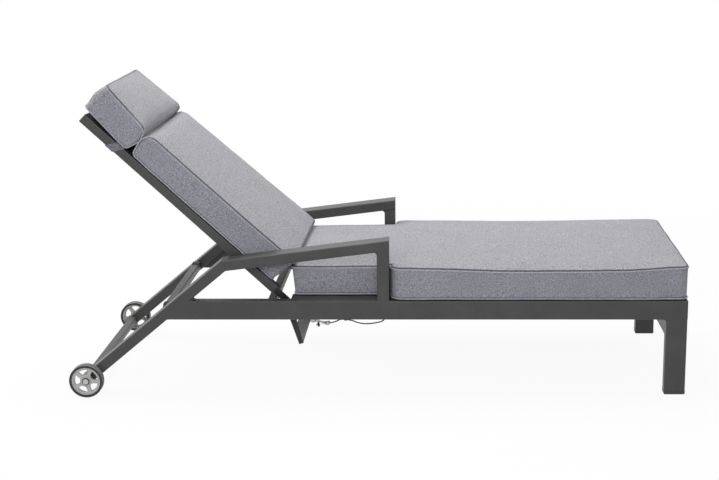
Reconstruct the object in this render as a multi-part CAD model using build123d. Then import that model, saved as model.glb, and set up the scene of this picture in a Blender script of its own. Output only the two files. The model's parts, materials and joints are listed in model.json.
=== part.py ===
"""A garden lounger with a backrest on a gas spring, two rear wheels and loose cushions.

Millimetres. X runs toward the foot end, Y toward the left side of whoever lies on it, Z up.
The origin lies on the floor, under the middle of the lounger with its backrest up.
"""

import os
from math import asin, atan2, cos, degrees, hypot, pi, radians, sin, tan

from build123d import *

# Main frame
foot_end = 933
frame_width = 680
rail_tall = 58
rail_thick = 33
rail_top = 295
tube_wall = 1.8
tube_corner = 3
cut_over = 40

# Foot legs
foot_leg_long = 64
foot_cap_tall = 14
foot_cap_chamfer = 3
cap_plug_deep = 18
plug_clearance = 0.2
inner_weld_radius = 9
small_weld_radius = 5

# Arm side frames
arm_top = 481
arm_slope = 7.15
arm_run = 502
arm_tall = 32
arm_wide = 62
post_front = 35
post_long = 36

# Rear legs and wheels
axle_x = -882
wheel_radius = 51
leg_past_axle = 16
leg_plug_lip = 2
leg_plug_deep = 5
wheel_wide = 26
wheel_gap = 2
tyre_thick = 7.5
tyre_edge_radius = 3
tread_groove = 2.5
tread_groove_deep = 1.5
rim_wall = 5
hub_radius = 12
web_thick = 9
web_inset = 3
window_margin = 3
window_count = 5
spoke_wide = 9
window_radius = 5
axle_radius = 5
axle_sleeve_radius = 8
axle_head_radius = 9
axle_head_thick = 4
axle_head_chamfer = 1.5
axle_spacer_radius = 8.5
axle_reach = 45
running_clearance = 0.05
side_play = 0.3

# Cross tubes
foot_cross_inset = 8
foot_cross_long = 30
foot_cross_tall = 60
foot_cross_drop = 9
wheel_cross_rear = 5
wheel_cross_long = 25
wheel_cross_tall = 20
wheel_cross_low = 50
rest_cross_x = -645
rest_cross_long = 24
rest_cross_tall = 25
rest_buffer_thick = 3.3
rest_buffer_gap = 0.2
pivot_cross_gap = 32
pivot_cross_long = 25
pivot_cross_tall = 25
anchor_cross_rear = 85
anchor_cross_size = 30

# Seat slats
slat_wide = 56
slat_tall = 12
slat_wall = 1.2
slat_corner = 2.4
seat_slat_count = 11
seat_slat_first = -215
seat_slat_last = 835
seat_strip_rear = -262
seat_strip_wide = 52
seat_strip_thick = 5

# Backrest
pivot_x = -288
pivot_z = 270
back_angle = 43.3
arm_back_gap = 6
back_tube_wide = 30
back_tube_tall = 27.5
back_tube_low = -1.5
back_tube_start = 48
back_tube_end = 816
back_slat_count = 10
back_slat_first = 140
back_slat_last = 752

# Crank under the backrest
crank_thick = 8
crank_inset = 2
crank_knee = 1
crank_arm_tall = 19.5
crank_drop_angle = 29.7
crank_length = 145
crank_knee_half = 10.6
crank_tip_half = 7
crank_boss_radius = 11
crank_plug_long = 62
crank_lug = 4
crank_tongue_long = 70
crank_tongue_thick = 3
cross_plate_thick = 4
cross_plate_from = 86
cross_plate_to = 143
cross_notch_half = 13
cross_notch_deep = 30
pin_radius = 4
pin_head_radius = 7
pin_head_thick = 1
pin_clip_thick = 1.5
bush_radius = 6
bush_deep = 3.5
bush_flange_radius = 9
bush_flange_thick = 2.2
bracket_ear = 4
bracket_ear_gap = 2.5
bracket_base = 4
bracket_inset = 3
bracket_boss_radius = 11
clevis_ear = 4
clevis_gap = 14
clevis_radius = 10
clevis_foot_up = 40
clevis_foot_radius = 4
screw_radius = 5
screw_head_radius = 8
screw_head_thick = 4
crank_pin_forward = 131.6
crank_pin_drop = 47.8

# Gas spring
anchor_x = 70
anchor_z = 190
cylinder_radius = 14
cylinder_wall = 2
cylinder_start = 92
cylinder_end_gap = 15
cylinder_neck_radius = 7
eye_radius = 12
eye_wide = 30
eye_play = 2
anchor_ear = 4
guide_lip = 2
guide_deep = 14
rod_radius = 5
rod_socket = 8
piston_at = 180
piston_thick = 9
head_half_wide = 10
head_half_tall = 12
head_end = 18
head_hole_radius = 5

# Cable, its adjuster and the trigger that it pulls
wire_drop = 24
wire_radius = 0.75
wire_clearance = 0.25
nipple_radius = 2.5
nipple_long = 7
nipple_at = 7.4
trigger_pin_at = 14
trigger_pin_drop = 8.7
trigger_pin_radius = 1.5
trigger_thick = 3.6
trigger_slot_play = 0.3
trigger_top_radius = 3.2
trigger_from = 10.2
trigger_to = 16.2
fork_wide = 8
fork_top = 19
fork_low = 30
fork_slot = 2.6
fork_slot_top = 22
arm_plate_inner = 6.5
arm_plate_from = 5
arm_plate_rear = 4
boss_from = 40
boss_to = 48
boss_half_tall = 5
boss_side = -5
arm_plate_over = 2
adjuster_radius = 3
adjuster_from = 34
adjuster_to = 52
adjuster_nut_radius = 5.5
adjuster_nut_thick = 4
adjuster_head_radius = 5
sheath_radius = 2
band_thick = 2
band_from = 106
band_to = 114
clip_radius = 4
clip_half_long = 4
clip_arm_thick = 3

# Release handle inside the right rail
handle_pin_x = 6
handle_pin_z = 267
handle_pin_radius = 3
handle_plate = 3
handle_plate_rear = -8
handle_plate_front = 34
handle_plate_low = 243
handle_plate_high = 280
handle_stop_thick = 3
handle_stop_top = 255
handle_stop_half = 7
handle_reach = 14
handle_bar_half_wide = 4
handle_bar_half_tall = 5
handle_bar_front = 68
handle_tab_long = 26
handle_tab_thick = 3
handle_tab_half_wide = 7
cable_end_x = 22
cable_end_inset = 10

# Cushions
cushion_rest_gap = 0.3
seat_cushion_thick = 99
seat_cushion_rear = -261
seat_cushion_step = 39
seat_cushion_front = 926
arm_cushion_gap = 4
foot_cushion_inset = 5
cushion_crown = 7
cushion_draw = 9
cushion_end_draw = 14
end_shares = (0, 0.35, 0.7, 1)
back_cushion_start = 72
back_cushion_end = 642
back_cushion_thick = 92
back_cushion_heel = 12
pillow_start = 648
pillow_end = 838
pillow_lift = 19
pillow_low = 28.4
pillow_right_foot = 34
pillow_thick = 80
pillow_heel = 8
pillow_crown = 8
pillow_draw = 9
strap_wide = 29
strap_thick = 1.5
strap_gap = 0.3
strap_top_start = 664
strap_lean = 20
strap_flap = 22

# Cable routes: the leads are straight, and the points between them are chosen by hand
cable_clip = (-119, -20.5, 146.3)
cable_clip_turn = -36
cable_clip_rise = 4
cable_adjuster_lead = 17
cable_clip_lead = 20
cable_handle_lead = 18
cable_front_x = (-90, -78, -60, -37, -10, 14)
cable_front_z = (151, 159, 170, 184, 201, 217)
cable_front_shares = (0.125, 0.28, 0.461, 0.653, 0.826, 0.96)
arc_share = 0.45

# Worked out from the values above
half_turn = 180
quarter_turn = 90
half_width = frame_width / 2
rail_inner = half_width - rail_thick
arm_inner = half_width - arm_wide
rail_low = rail_top - rail_tall
foot_leg_rear = foot_end - foot_leg_long
post_rear = post_front - post_long
bend_x = post_front - arm_run
bend_z = arm_top - arm_run * tan(radians(arm_slope))
leg_reach = hypot(bend_x - axle_x, bend_z - wheel_radius)
leg_slope = degrees(atan2(bend_z - wheel_radius, bend_x - axle_x) - asin(arm_tall / 2 / leg_reach))
mitre_slope = (arm_slope + leg_slope) / 2
pivot_cross_front = pivot_x - pivot_cross_gap
pivot_cross_rear = pivot_cross_front - pivot_cross_long
flat_tube_low = pivot_z + back_tube_low
pivot_cross_top = flat_tube_low + back_tube_low
pivot_cross_low = pivot_cross_top - pivot_cross_tall
anchor_cross_front = anchor_cross_rear + anchor_cross_size
anchor_cross_top = rail_low + anchor_cross_size
back_tube_high = back_tube_low + back_tube_tall
back_tube_mid = back_tube_low + back_tube_tall / 2
back_half_width = arm_inner - arm_back_gap
back_inner = back_half_width - back_tube_wide
back_tube_side = back_half_width - back_tube_wide / 2
crank_outer = back_half_width - crank_inset
crank_inner = crank_outer - crank_thick
bracket_outer_low = crank_outer + bracket_ear_gap
bracket_outer_high = bracket_outer_low + bracket_ear
bracket_inner_high = crank_inner - bracket_ear_gap
bracket_inner_low = bracket_inner_high - bracket_ear
rest_cross_top = flat_tube_low - rest_buffer_gap - rest_buffer_thick
rest_cross_low = rest_cross_top - rest_cross_tall
seat_half_width = arm_inner - arm_cushion_gap
foot_half_width = half_width - foot_cushion_inset
pillow_half_width = back_half_width
cable_end_y = cable_end_inset - rail_inner

recline = Pos(pivot_x, 0, pivot_z) * Rot(0, back_angle, 0)
crank_pin = (recline * Pos(crank_pin_forward, 0, -crank_pin_drop)).position
spring_run = anchor_x - crank_pin.X
spring_rise = anchor_z - crank_pin.Z
spring_length = hypot(spring_run, spring_rise)
spring_angle = degrees(atan2(spring_rise, spring_run))
spring = Pos(crank_pin.X, 0, crank_pin.Z) * Rot(0, -spring_angle, 0)
clip_direction = Vector(
    cos(radians(cable_clip_turn)), sin(radians(cable_clip_turn)), tan(radians(cable_clip_rise))
).normalized()
eye_clear = eye_wide / 2 + eye_play


def block(x_low, x_high, y_low, y_high, z_low, z_high):
    """A rectangular block between its low and high faces."""
    size = Box(x_high - x_low, y_high - y_low, z_high - z_low)
    return Pos((x_low + x_high) / 2, (y_low + y_high) / 2, (z_low + z_high) / 2) * size


def bar(long, wide, tall, corner):
    """A solid bar along X from the origin with rounded long edges."""
    return extrude(Plane.YZ * RectangleRounded(wide, tall, corner), long)


def tube(long, wide, tall, wall=tube_wall, corner=tube_corner):
    """A hollow tube along X from the origin."""
    bore = bar(long, wide - 2 * wall, tall - 2 * wall, corner - wall)
    return bar(long, wide, tall, corner) - bore


def cross_tube(x_low, x_high, z_low, z_high, half):
    """A hollow tube across the lounger between two side members."""
    across = Rot(0, 0, 90) * tube(2 * half, x_high - x_low, z_high - z_low)
    return Pos((x_low + x_high) / 2, -half, (z_low + z_high) / 2) * across


def upright(x_low, x_high, y_low, y_high, z_low, z_high, corner):
    """A solid upright with rounded vertical edges."""
    section = RectangleRounded(x_high - x_low, y_high - y_low, corner)
    return Pos((x_low + x_high) / 2, (y_low + y_high) / 2, z_low) * extrude(section, z_high - z_low)


def round_bar(radius, x, z, y_low, y_high):
    """A round bar across the lounger."""
    lying = Rot(-90, 0, 0) * Cylinder(radius, y_high - y_low)
    return Pos(x, (y_low + y_high) / 2, z) * lying


def long_round(radius, s_low, s_high, drop=0):
    """A round bar along the gas spring's own axis, or below it."""
    return Pos((s_low + s_high) / 2, 0, -drop) * Rot(0, 90, 0) * Cylinder(radius, s_high - s_low)


def side_plate(outline, y_low, y_high):
    """An outline drawn in X and Z, made solid between two planes."""
    return extrude(Plane.XZ.offset(-y_high) * outline, y_high - y_low)


def outline_of(points):
    """A flat face through corner points."""
    return make_face(Polyline(*points, close=True))


def keep(shape, point, degrees_up):
    """The part of a shape beyond a plane that faces a direction in X and Z."""
    facing = (cos(radians(degrees_up)), 0, sin(radians(degrees_up)))
    return split(shape, bisect_by=Plane(origin=(point[0], 0, point[1]), z_dir=facing), keep=Keep.TOP)


def weld_fillet(corner, first, second, radius, y_low, y_high):
    """A hollow fillet in the corner between two directions, in degrees above X."""
    half = radians(second - first) / 2
    middle = radians(first) + half
    run = radius / tan(abs(half))
    depth = radius / sin(abs(half)) - radius
    start = corner + run * Vector(cos(radians(first)), sin(radians(first)))
    end = corner + run * Vector(cos(radians(second)), sin(radians(second)))
    through = corner + depth * Vector(cos(middle), sin(middle))
    edges = [Line(corner, start), ThreePointArc(start, through, end), Line(end, corner)]
    return side_plate(make_face(edges), y_low, y_high)


def arm_line(x, depth):
    """The height of a line that lies a given depth under the arm's upper face."""
    return arm_top - (post_front - x) * tan(radians(arm_slope)) - depth / cos(radians(arm_slope))


def leg_line(x, depth):
    """The height of a line that lies a given depth under the rear leg's upper face."""
    return bend_z - (bend_x - x) * tan(radians(leg_slope)) - depth / cos(radians(leg_slope))


def leg_line_x(z, depth):
    """Where the same line under the rear leg's upper face reaches a height."""
    return bend_x - (bend_z - depth / cos(radians(leg_slope)) - z) / tan(radians(leg_slope))


# Frame pieces, made for the left side

def rail():
    """The long side member, cut at the rear to lie on the leg and closed at the foot end."""
    rear = leg_line_x(rail_low, arm_tall) - cut_over
    middle_y = half_width - rail_thick / 2
    middle_z = rail_top - rail_tall / 2
    outer = Pos(rear, middle_y, middle_z) * bar(foot_end - rear, rail_thick, rail_tall, tube_corner)
    bore = bar(
        foot_end - tube_wall - rear,
        rail_thick - 2 * tube_wall,
        rail_tall - 2 * tube_wall,
        tube_corner - tube_wall,
    )
    body = outer - Pos(rear, middle_y, middle_z) * bore
    body = keep(body, (leg_line_x(rail_top, arm_tall), rail_top), leg_slope - quarter_turn)
    corner = Vector(leg_line_x(rail_top, arm_tall), rail_top)
    return body + weld_fillet(corner, 0, leg_slope, small_weld_radius, rail_inner, half_width)


def sloped(x, z, slope, long, wide, tall, corner):
    """A bar of the side frame that runs rearward and down."""
    middle_y = (half_width + arm_inner) / 2
    return Pos(x, middle_y, z) * Rot(0, half_turn - slope, 0) * bar(long, wide, tall, corner)


def arm_bar(wide, tall, corner, front):
    """The armrest's outer or inner form, mitred at the bend."""
    start = post_front + cut_over
    long = arm_run + 2 * cut_over
    body = sloped(start, arm_line(start, arm_tall / 2), arm_slope, long, wide, tall, corner)
    body = keep(body, (front, 0), half_turn)
    return keep(body, (bend_x, bend_z), mitre_slope)


def armrest():
    """The armrest tube, closed over the post."""
    outer = arm_bar(arm_wide, arm_tall, tube_corner, post_front)
    thin = 2 * tube_wall
    inner = arm_bar(arm_wide - thin, arm_tall - thin, tube_corner - tube_wall, post_front - tube_wall)
    return outer - inner


def leg_bar(wide, tall, corner):
    """The rear leg's outer or inner form, from the mitre to its lower end."""
    start_x = bend_x + cut_over
    start_z = leg_line(start_x, arm_tall / 2)
    long = (start_x - axle_x) / cos(radians(leg_slope)) + leg_past_axle
    body = sloped(start_x, start_z, leg_slope, long, wide, tall, corner)
    return keep(body, (bend_x, bend_z), half_turn + mitre_slope)


def rear_leg():
    """The rear leg tube with the sleeve that the axle bolt screws into."""
    thin = 2 * tube_wall
    shell = leg_bar(arm_wide, arm_tall, tube_corner)
    shell -= leg_bar(arm_wide - thin, arm_tall - thin, tube_corner - tube_wall)
    inner = arm_inner + tube_wall
    shell += round_bar(axle_sleeve_radius, axle_x, wheel_radius, inner, half_width - tube_wall)
    bore = axle_radius + running_clearance
    return shell - round_bar(bore, axle_x, wheel_radius, inner, half_width + cut_over)


def rear_leg_plug():
    """The plastic plug in the rear leg's lower end."""
    wide_in = arm_wide - 2 * tube_wall - 2 * plug_clearance
    tall_in = arm_tall - 2 * tube_wall - 2 * plug_clearance
    lip = bar(leg_plug_lip, arm_wide, arm_tall, tube_corner)
    core = Pos(-leg_plug_deep, 0, 0) * bar(leg_plug_deep, wide_in, tall_in, tube_corner - tube_wall)
    end_x = axle_x - leg_past_axle * cos(radians(leg_slope))
    end_z = leg_line(end_x, arm_tall / 2)
    place = Pos(end_x, (half_width + arm_inner) / 2, end_z) * Rot(0, half_turn - leg_slope, 0)
    return place * (lip + core)


def arm_post():
    """The post between rail and armrest, with a welded corner under the arm."""
    outer = upright(post_rear, post_front, arm_inner, half_width, rail_top, arm_top, tube_corner)
    inner = upright(
        post_rear + tube_wall,
        post_front - tube_wall,
        arm_inner + tube_wall,
        half_width - tube_wall,
        rail_top + tube_wall,
        arm_top,
        tube_corner - tube_wall,
    )
    under_arm = (post_rear, arm_line(post_rear, arm_tall))
    body = keep(outer - inner, under_arm, arm_slope - quarter_turn)
    corner = Vector(*under_arm)
    flat_low = arm_inner + tube_corner
    flat_high = half_width - tube_corner
    down = half_turn + quarter_turn
    return body + weld_fillet(corner, half_turn + arm_slope, down, inner_weld_radius, flat_low, flat_high)


def foot_leg():
    """The broad leg at the foot end, with a welded corner under the rail."""
    outer = upright(foot_leg_rear, foot_end, rail_inner, half_width, foot_cap_tall, rail_low, tube_corner)
    inner = upright(
        foot_leg_rear + tube_wall,
        foot_end - tube_wall,
        rail_inner + tube_wall,
        half_width - tube_wall,
        foot_cap_tall,
        rail_low,
        tube_corner - tube_wall,
    )
    corner = Vector(foot_leg_rear, rail_low)
    flat_low = rail_inner + tube_corner
    flat_high = half_width - tube_corner
    down = half_turn + quarter_turn
    return outer - inner + weld_fillet(corner, half_turn, down, inner_weld_radius, flat_low, flat_high)


def in_foot_leg(gap):
    """A form in the foot leg's lower end, a gap inside its outer faces."""
    return upright(
        foot_leg_rear + gap,
        foot_end - gap,
        rail_inner + gap,
        half_width - gap,
        foot_cap_tall,
        foot_cap_tall + cap_plug_deep,
        tube_corner - tube_wall,
    )


def foot_cap():
    """The plastic foot that plugs the leg and meets the floor."""
    foot = block(foot_leg_rear, foot_end, rail_inner, half_width, 0, foot_cap_tall)
    foot = chamfer(foot.faces().sort_by(Axis.Z)[0].edges(), foot_cap_chamfer)
    gap = tube_wall + plug_clearance
    return foot + (in_foot_leg(gap) - in_foot_leg(gap + tube_wall))


# Cross members and slats

def foot_cross_tube():
    """The tall cross tube between the foot legs."""
    rear = foot_leg_rear + foot_cross_inset
    high = rail_low - foot_cross_drop
    return cross_tube(rear, rear + foot_cross_long, high - foot_cross_tall, high, rail_inner)


def wheel_cross_tube():
    """The cross tube between the rear legs at the wheels."""
    rear = axle_x - wheel_cross_rear
    high = wheel_cross_low + wheel_cross_tall
    return cross_tube(rear, rear + wheel_cross_long, wheel_cross_low, high, arm_inner)


def rest_cross_tube():
    """The cross tube that carries the backrest when it lies flat."""
    rear = rest_cross_x - rest_cross_long / 2
    return cross_tube(rear, rear + rest_cross_long, rest_cross_low, rest_cross_top, arm_inner)


def rest_buffers():
    """The rubber pads under the lowered back tubes."""
    rear = rest_cross_x - rest_cross_long / 2
    top = rest_cross_top + rest_buffer_thick
    left = block(rear, rear + rest_cross_long, back_inner, back_half_width, rest_cross_top, top)
    return [left, mirror(left, about=Plane.XZ)]


def pivot_cross_tube():
    """The cross tube that carries the backrest's pivots."""
    return cross_tube(pivot_cross_rear, pivot_cross_front, pivot_cross_low, pivot_cross_top, rail_inner)


def anchor_cross_tube():
    """The cross tube that the gas spring pushes against."""
    return cross_tube(anchor_cross_rear, anchor_cross_front, rail_low, anchor_cross_top, rail_inner)


def slat(middle, half, high):
    """One hollow slat across the lounger."""
    across = Rot(0, 0, 90) * tube(2 * half, slat_wide, slat_tall, slat_wall, slat_corner)
    return Pos(middle, -half, high - slat_tall / 2) * across


def slats(count, first, last, half, high):
    """Evenly spaced slats."""
    pitch = (last - first) / (count - 1)
    return [slat(first + number * pitch, half, high) for number in range(count)]


def seat_strips():
    """The flat bars along both rails that the seat slats end on."""
    inner = rail_inner - seat_strip_wide
    front = seat_slat_last + slat_wide / 2
    left = block(seat_strip_rear, front, inner, rail_inner, rail_top - seat_strip_thick, rail_top)
    return [left, mirror(left, about=Plane.XZ)]


# Wheels

def window_outline():
    """One rounded opening of the wheel, between two spokes."""
    outer = wheel_radius - tyre_thick - rim_wall
    ring = Circle(outer) - Circle(hub_radius + window_margin)
    turn = pi / window_count
    far = wheel_radius / cos(turn)
    back = spoke_wide / 2 / sin(turn)
    wedge = make_face(
        Polyline(
            (back, 0),
            (back + far * cos(turn), far * sin(turn)),
            (back + far * cos(turn), -far * sin(turn)),
            close=True,
        )
    )
    window = ring & wedge
    return fillet(window.vertices(), window_radius)


def wheel_rim():
    """The moulded rim: hub, web with five openings, and the ring that holds the tyre."""
    outer = wheel_radius - tyre_thick
    ring = Cylinder(outer, wheel_wide - 2 * web_inset) - Cylinder(outer - rim_wall, wheel_wide)
    web = Pos(0, 0, web_inset) * Cylinder(outer - rim_wall / 2, web_thick)
    cutter = extrude(Pos(0, 0, -wheel_wide / 2) * window_outline(), wheel_wide)
    for number in range(window_count):
        web -= Rot(0, 0, number * 360 / window_count) * cutter
    hub = Cylinder(hub_radius, wheel_wide)
    return ring + web + hub - Cylinder(axle_radius + running_clearance, wheel_wide)


def tyre():
    """The solid tyre with its tread grooves."""
    inner = wheel_radius - tyre_thick
    body = Cylinder(wheel_radius, wheel_wide)
    rims = body.edges().filter_by(GeomType.CIRCLE)
    body = fillet(rims, tyre_edge_radius) - Cylinder(inner, wheel_wide)
    groove = Cylinder(wheel_radius, tread_groove) - Cylinder(wheel_radius - tread_groove_deep, tread_groove)
    for side in (-1, 0, 1):
        body -= Pos(0, 0, side * wheel_wide / 4) * groove
    return body


def at_wheel(shape):
    """Turns a wheel piece from its own upright axis onto the left axle."""
    middle = half_width + wheel_gap + wheel_wide / 2
    return Pos(axle_x, middle, wheel_radius) * Rot(-90, 0, 0) * shape


def wheel_axle():
    """The axle bolt with its spacer and head."""
    outer = half_width + wheel_gap + wheel_wide + side_play
    shank = round_bar(axle_radius, axle_x, wheel_radius, half_width - axle_reach, outer)
    spacer_end = half_width + wheel_gap - side_play
    spacer = round_bar(axle_spacer_radius, axle_x, wheel_radius, half_width, spacer_end)
    head = round_bar(axle_head_radius, axle_x, wheel_radius, outer, outer + axle_head_thick)
    return shank + spacer + chamfer(head.edges().sort_by(Axis.Y)[-1], axle_head_chamfer)


# Backrest frame, made in its flat position around the pivot

def back_tube():
    """A side tube of the backrest, closed at the head end."""
    long = back_tube_end - back_tube_start
    outer = bar(long, back_tube_wide, back_tube_tall, tube_corner)
    thin = 2 * tube_wall
    inner = bar(long - tube_wall, back_tube_wide - thin, back_tube_tall - thin, tube_corner - tube_wall)
    middle_y = back_half_width - back_tube_wide / 2
    return Pos(-back_tube_end, middle_y, back_tube_mid) * (outer - Pos(tube_wall, 0, 0) * inner)


def back_top_tube():
    """The cross tube at the head end of the backrest."""
    head = -back_tube_end
    return cross_tube(head, head + back_tube_tall, back_tube_low, back_tube_high, back_inner)


def lever_point(along, front):
    """A point of the crank, measured down its lever and out of its front edge."""
    angle = radians(crank_drop_angle)
    x = -crank_knee + along * cos(angle) + front * sin(angle)
    return (x, back_tube_mid - along * sin(angle) + front * cos(angle))


def crank_outline():
    """The crank's side view: arm in line with the back tube, bent lever, pivot boss and lug."""
    low = back_tube_mid - crank_arm_tall / 2
    high = back_tube_mid + crank_arm_tall / 2
    lug_top = back_tube_high + crank_tongue_thick
    arm = outline_of(
        [
            (-back_tube_start, low),
            (-crank_knee, low),
            (-crank_knee, high),
            (crank_lug - back_tube_start, high),
            (crank_lug - back_tube_start, lug_top),
            (-back_tube_start, lug_top),
        ]
    )
    lever = outline_of(
        [
            lever_point(0, -crank_knee_half),
            lever_point(crank_length, -crank_tip_half),
            lever_point(crank_length, crank_tip_half),
            lever_point(0, crank_knee_half),
        ]
    )
    knee = Pos(-crank_knee, back_tube_mid) * Circle(crank_arm_tall / 2)
    return arm + lever + knee + Circle(crank_boss_radius)


def crank_plate():
    """The flat crank with the plug that sits in the back tube and the tongue on top of it."""
    body = side_plate(crank_outline(), crank_inner, crank_outer)
    gap = tube_wall + plug_clearance
    plug = bar(
        crank_plug_long, back_tube_wide - 2 * gap, back_tube_tall - 2 * gap, tube_corner - tube_wall
    )
    body += Pos(-back_tube_start - crank_plug_long, back_tube_side, back_tube_mid) * plug
    body += block(
        -back_tube_start - crank_tongue_long,
        crank_lug - back_tube_start,
        crank_inner,
        crank_outer,
        back_tube_high,
        back_tube_high + crank_tongue_thick,
    )
    return body - round_bar(bush_radius + running_clearance, 0, 0, crank_inner, crank_outer)


def crank_cross_plate():
    """The plate that joins the two cranks, notched round the gas spring's end."""
    corners = [
        lever_point(cross_plate_from, crank_tip_half - cross_plate_thick),
        lever_point(cross_plate_to, crank_tip_half - cross_plate_thick),
        lever_point(cross_plate_to, crank_tip_half),
        lever_point(cross_plate_from, crank_tip_half),
    ]
    plate = side_plate(outline_of(corners), -crank_inner, crank_inner)
    notch_corners = [
        lever_point(cross_plate_to - cross_notch_deep, 0),
        lever_point(cross_plate_to + cross_notch_deep, 0),
        lever_point(cross_plate_to + cross_notch_deep, cross_notch_deep),
        lever_point(cross_plate_to - cross_notch_deep, cross_notch_deep),
    ]
    plate -= side_plate(outline_of(notch_corners), -cross_notch_half, cross_notch_half)
    room = screw_head_radius + side_play
    outer = clevis_gap + clevis_ear
    for side in (-1, 1):
        low, high = sorted((side * outer, side * (outer + screw_head_thick + side_play)))
        plate -= round_bar(room, crank_pin_forward, -crank_pin_drop, low, high)
    return plate


def crank_clevis():
    """The two ears that hold the gas spring's end, welded on the cross plate."""
    pin = Vector(crank_pin_forward, -crank_pin_drop)
    face = crank_tip_half
    foot = Vector(*lever_point(cross_plate_to - clevis_foot_up, face + clevis_foot_radius))
    ends = (Pos(pin) * Circle(clevis_radius)).edges() + (Pos(foot) * Circle(clevis_foot_radius)).edges()
    behind = [
        lever_point(0, -clevis_foot_up),
        lever_point(cross_plate_to, -clevis_foot_up),
        lever_point(cross_plate_to, face),
        lever_point(0, face),
    ]
    ear = make_hull(ends) - outline_of(behind) - Pos(pin) * Circle(screw_radius + running_clearance)
    left = side_plate(ear, clevis_gap, clevis_gap + clevis_ear)
    return [left, mirror(left, about=Plane.XZ)]


def clevis_screws():
    """The two shoulder screws in the ears, which stop short of the spring's head."""
    inner = head_half_wide + side_play * 2
    outer = clevis_gap + clevis_ear
    x, z = crank_pin_forward, -crank_pin_drop
    left = round_bar(screw_radius, x, z, inner, outer)
    left += round_bar(screw_head_radius, x, z, outer, outer + screw_head_thick)
    return [left, mirror(left, about=Plane.XZ)]


def pivot_bushes():
    """The four flanged bushes between cranks and brackets."""
    bore = pin_radius + running_clearance
    outer = round_bar(bush_radius, 0, 0, crank_outer - bush_deep, crank_outer)
    outer += round_bar(bush_flange_radius, 0, 0, crank_outer, crank_outer + bush_flange_thick)
    outer -= round_bar(bore, 0, 0, crank_inner, bracket_outer_low)
    inner = round_bar(bush_radius, 0, 0, crank_inner, crank_inner + bush_deep)
    inner += round_bar(bush_flange_radius, 0, 0, crank_inner - bush_flange_thick, crank_inner)
    inner -= round_bar(bore, 0, 0, bracket_inner_high, crank_outer)
    pair = [outer, inner]
    return pair + [mirror(bush, about=Plane.XZ) for bush in pair]


# Pivot brackets and pins on the frame

def pivot_bracket():
    """A forked bracket on the front of the pivot cross tube."""
    boss = Pos(pivot_x, pivot_z) * Circle(bracket_boss_radius)
    low = pivot_cross_low + bracket_inset
    high = pivot_cross_top - bracket_inset
    foot = [(pivot_cross_front, low), (pivot_cross_front, high)]
    ear = make_hull(boss.edges() + [Line(*foot)])
    ear -= Pos(pivot_x, pivot_z) * Circle(pin_radius + running_clearance)
    body = side_plate(ear, bracket_outer_low, bracket_outer_high)
    body += side_plate(ear, bracket_inner_low, bracket_inner_high)
    front = pivot_cross_front + bracket_base
    return body + block(pivot_cross_front, front, bracket_inner_low, bracket_outer_high, low, high)


def pivot_pin():
    """A pivot pin with its thin head outside and a clip inside."""
    clip_from = bracket_inner_low - pin_clip_thick
    pin = round_bar(pin_radius, pivot_x, pivot_z, clip_from - pin_clip_thick, bracket_outer_high)
    head_end = bracket_outer_high + pin_head_thick
    pin += round_bar(pin_head_radius, pivot_x, pivot_z, bracket_outer_high, head_end)
    return pin + round_bar(pin_head_radius, pivot_x, pivot_z, clip_from, bracket_inner_low)


def anchor_bracket():
    """The forked bracket that hangs under the anchor cross tube."""
    base_low = rail_low - bracket_base
    boss = Pos(anchor_x, anchor_z) * Circle(bracket_boss_radius)
    foot = Line((anchor_cross_rear, base_low), (anchor_cross_front, base_low))
    ear = make_hull(boss.edges() + [foot])
    ear -= Pos(anchor_x, anchor_z) * Circle(pin_radius + running_clearance)
    left = side_plate(ear, eye_clear, eye_clear + anchor_ear)
    half = eye_clear + anchor_ear
    base = block(anchor_cross_rear, anchor_cross_front, -half, half, base_low, rail_low)
    return left + mirror(left, about=Plane.XZ) + base


def anchor_pin():
    """The pin through the gas spring's eye."""
    outer = eye_clear + anchor_ear
    pin = round_bar(pin_radius, anchor_x, anchor_z, -outer - pin_clip_thick * 2, outer)
    pin += round_bar(pin_head_radius, anchor_x, anchor_z, outer, outer + pin_clip_thick * 2)
    return pin + round_bar(pin_head_radius, anchor_x, anchor_z, -outer - pin_clip_thick, -outer)


# Gas spring, made along its own axis from the crank pin

def gas_cylinder():
    """The pressure tube with its welded eye."""
    end = spring_length - cylinder_end_gap
    body = long_round(cylinder_radius, cylinder_start, end)
    bore_end = end - 2 * cylinder_wall
    body -= long_round(cylinder_radius - cylinder_wall, cylinder_start, bore_end)
    body += long_round(cylinder_neck_radius, end, spring_length)
    body += round_bar(eye_radius, spring_length, 0, -eye_wide / 2, eye_wide / 2)
    return body - round_bar(pin_radius + running_clearance, spring_length, 0, -eye_wide, eye_wide)


def gas_guide():
    """The guide and seal that the rod slides in."""
    lip = long_round(cylinder_radius, cylinder_start - guide_lip, cylinder_start)
    body = long_round(
        cylinder_radius - cylinder_wall - running_clearance, cylinder_start, cylinder_start + guide_deep
    )
    bore_end = cylinder_start + guide_deep
    return lip + body - long_round(rod_radius + running_clearance, cylinder_start - guide_lip, bore_end)


def gas_rod():
    """The piston rod, from its head to the piston."""
    rod = long_round(rod_radius, rod_socket, piston_at)
    bore = cylinder_radius - cylinder_wall
    return rod + long_round(bore - 2 * running_clearance, piston_at, piston_at + piston_thick)


def cable_band():
    """The clamp on the cylinder that holds the cable beside it."""
    outer = cylinder_radius + band_thick
    band = long_round(outer, band_from, band_to) - long_round(
        cylinder_radius + running_clearance, band_from, band_to
    )
    clip = clip_place()
    local = spring.inverse() * clip
    centre = local.position
    ear = block(band_from, band_to, centre.Y, -cylinder_radius / 2, centre.Z, centre.Z + clip_arm_thick)
    band += ear - long_round(cylinder_radius + running_clearance, band_from, band_to)
    band += local * Cylinder(clip_radius, 2 * clip_half_long)
    return band - local * Cylinder(sheath_radius + running_clearance, 2 * clip_half_long)


def clip_place():
    """The cable clip's place, with its axis along the cable."""
    return Plane(origin=cable_clip, z_dir=clip_direction).location


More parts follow.
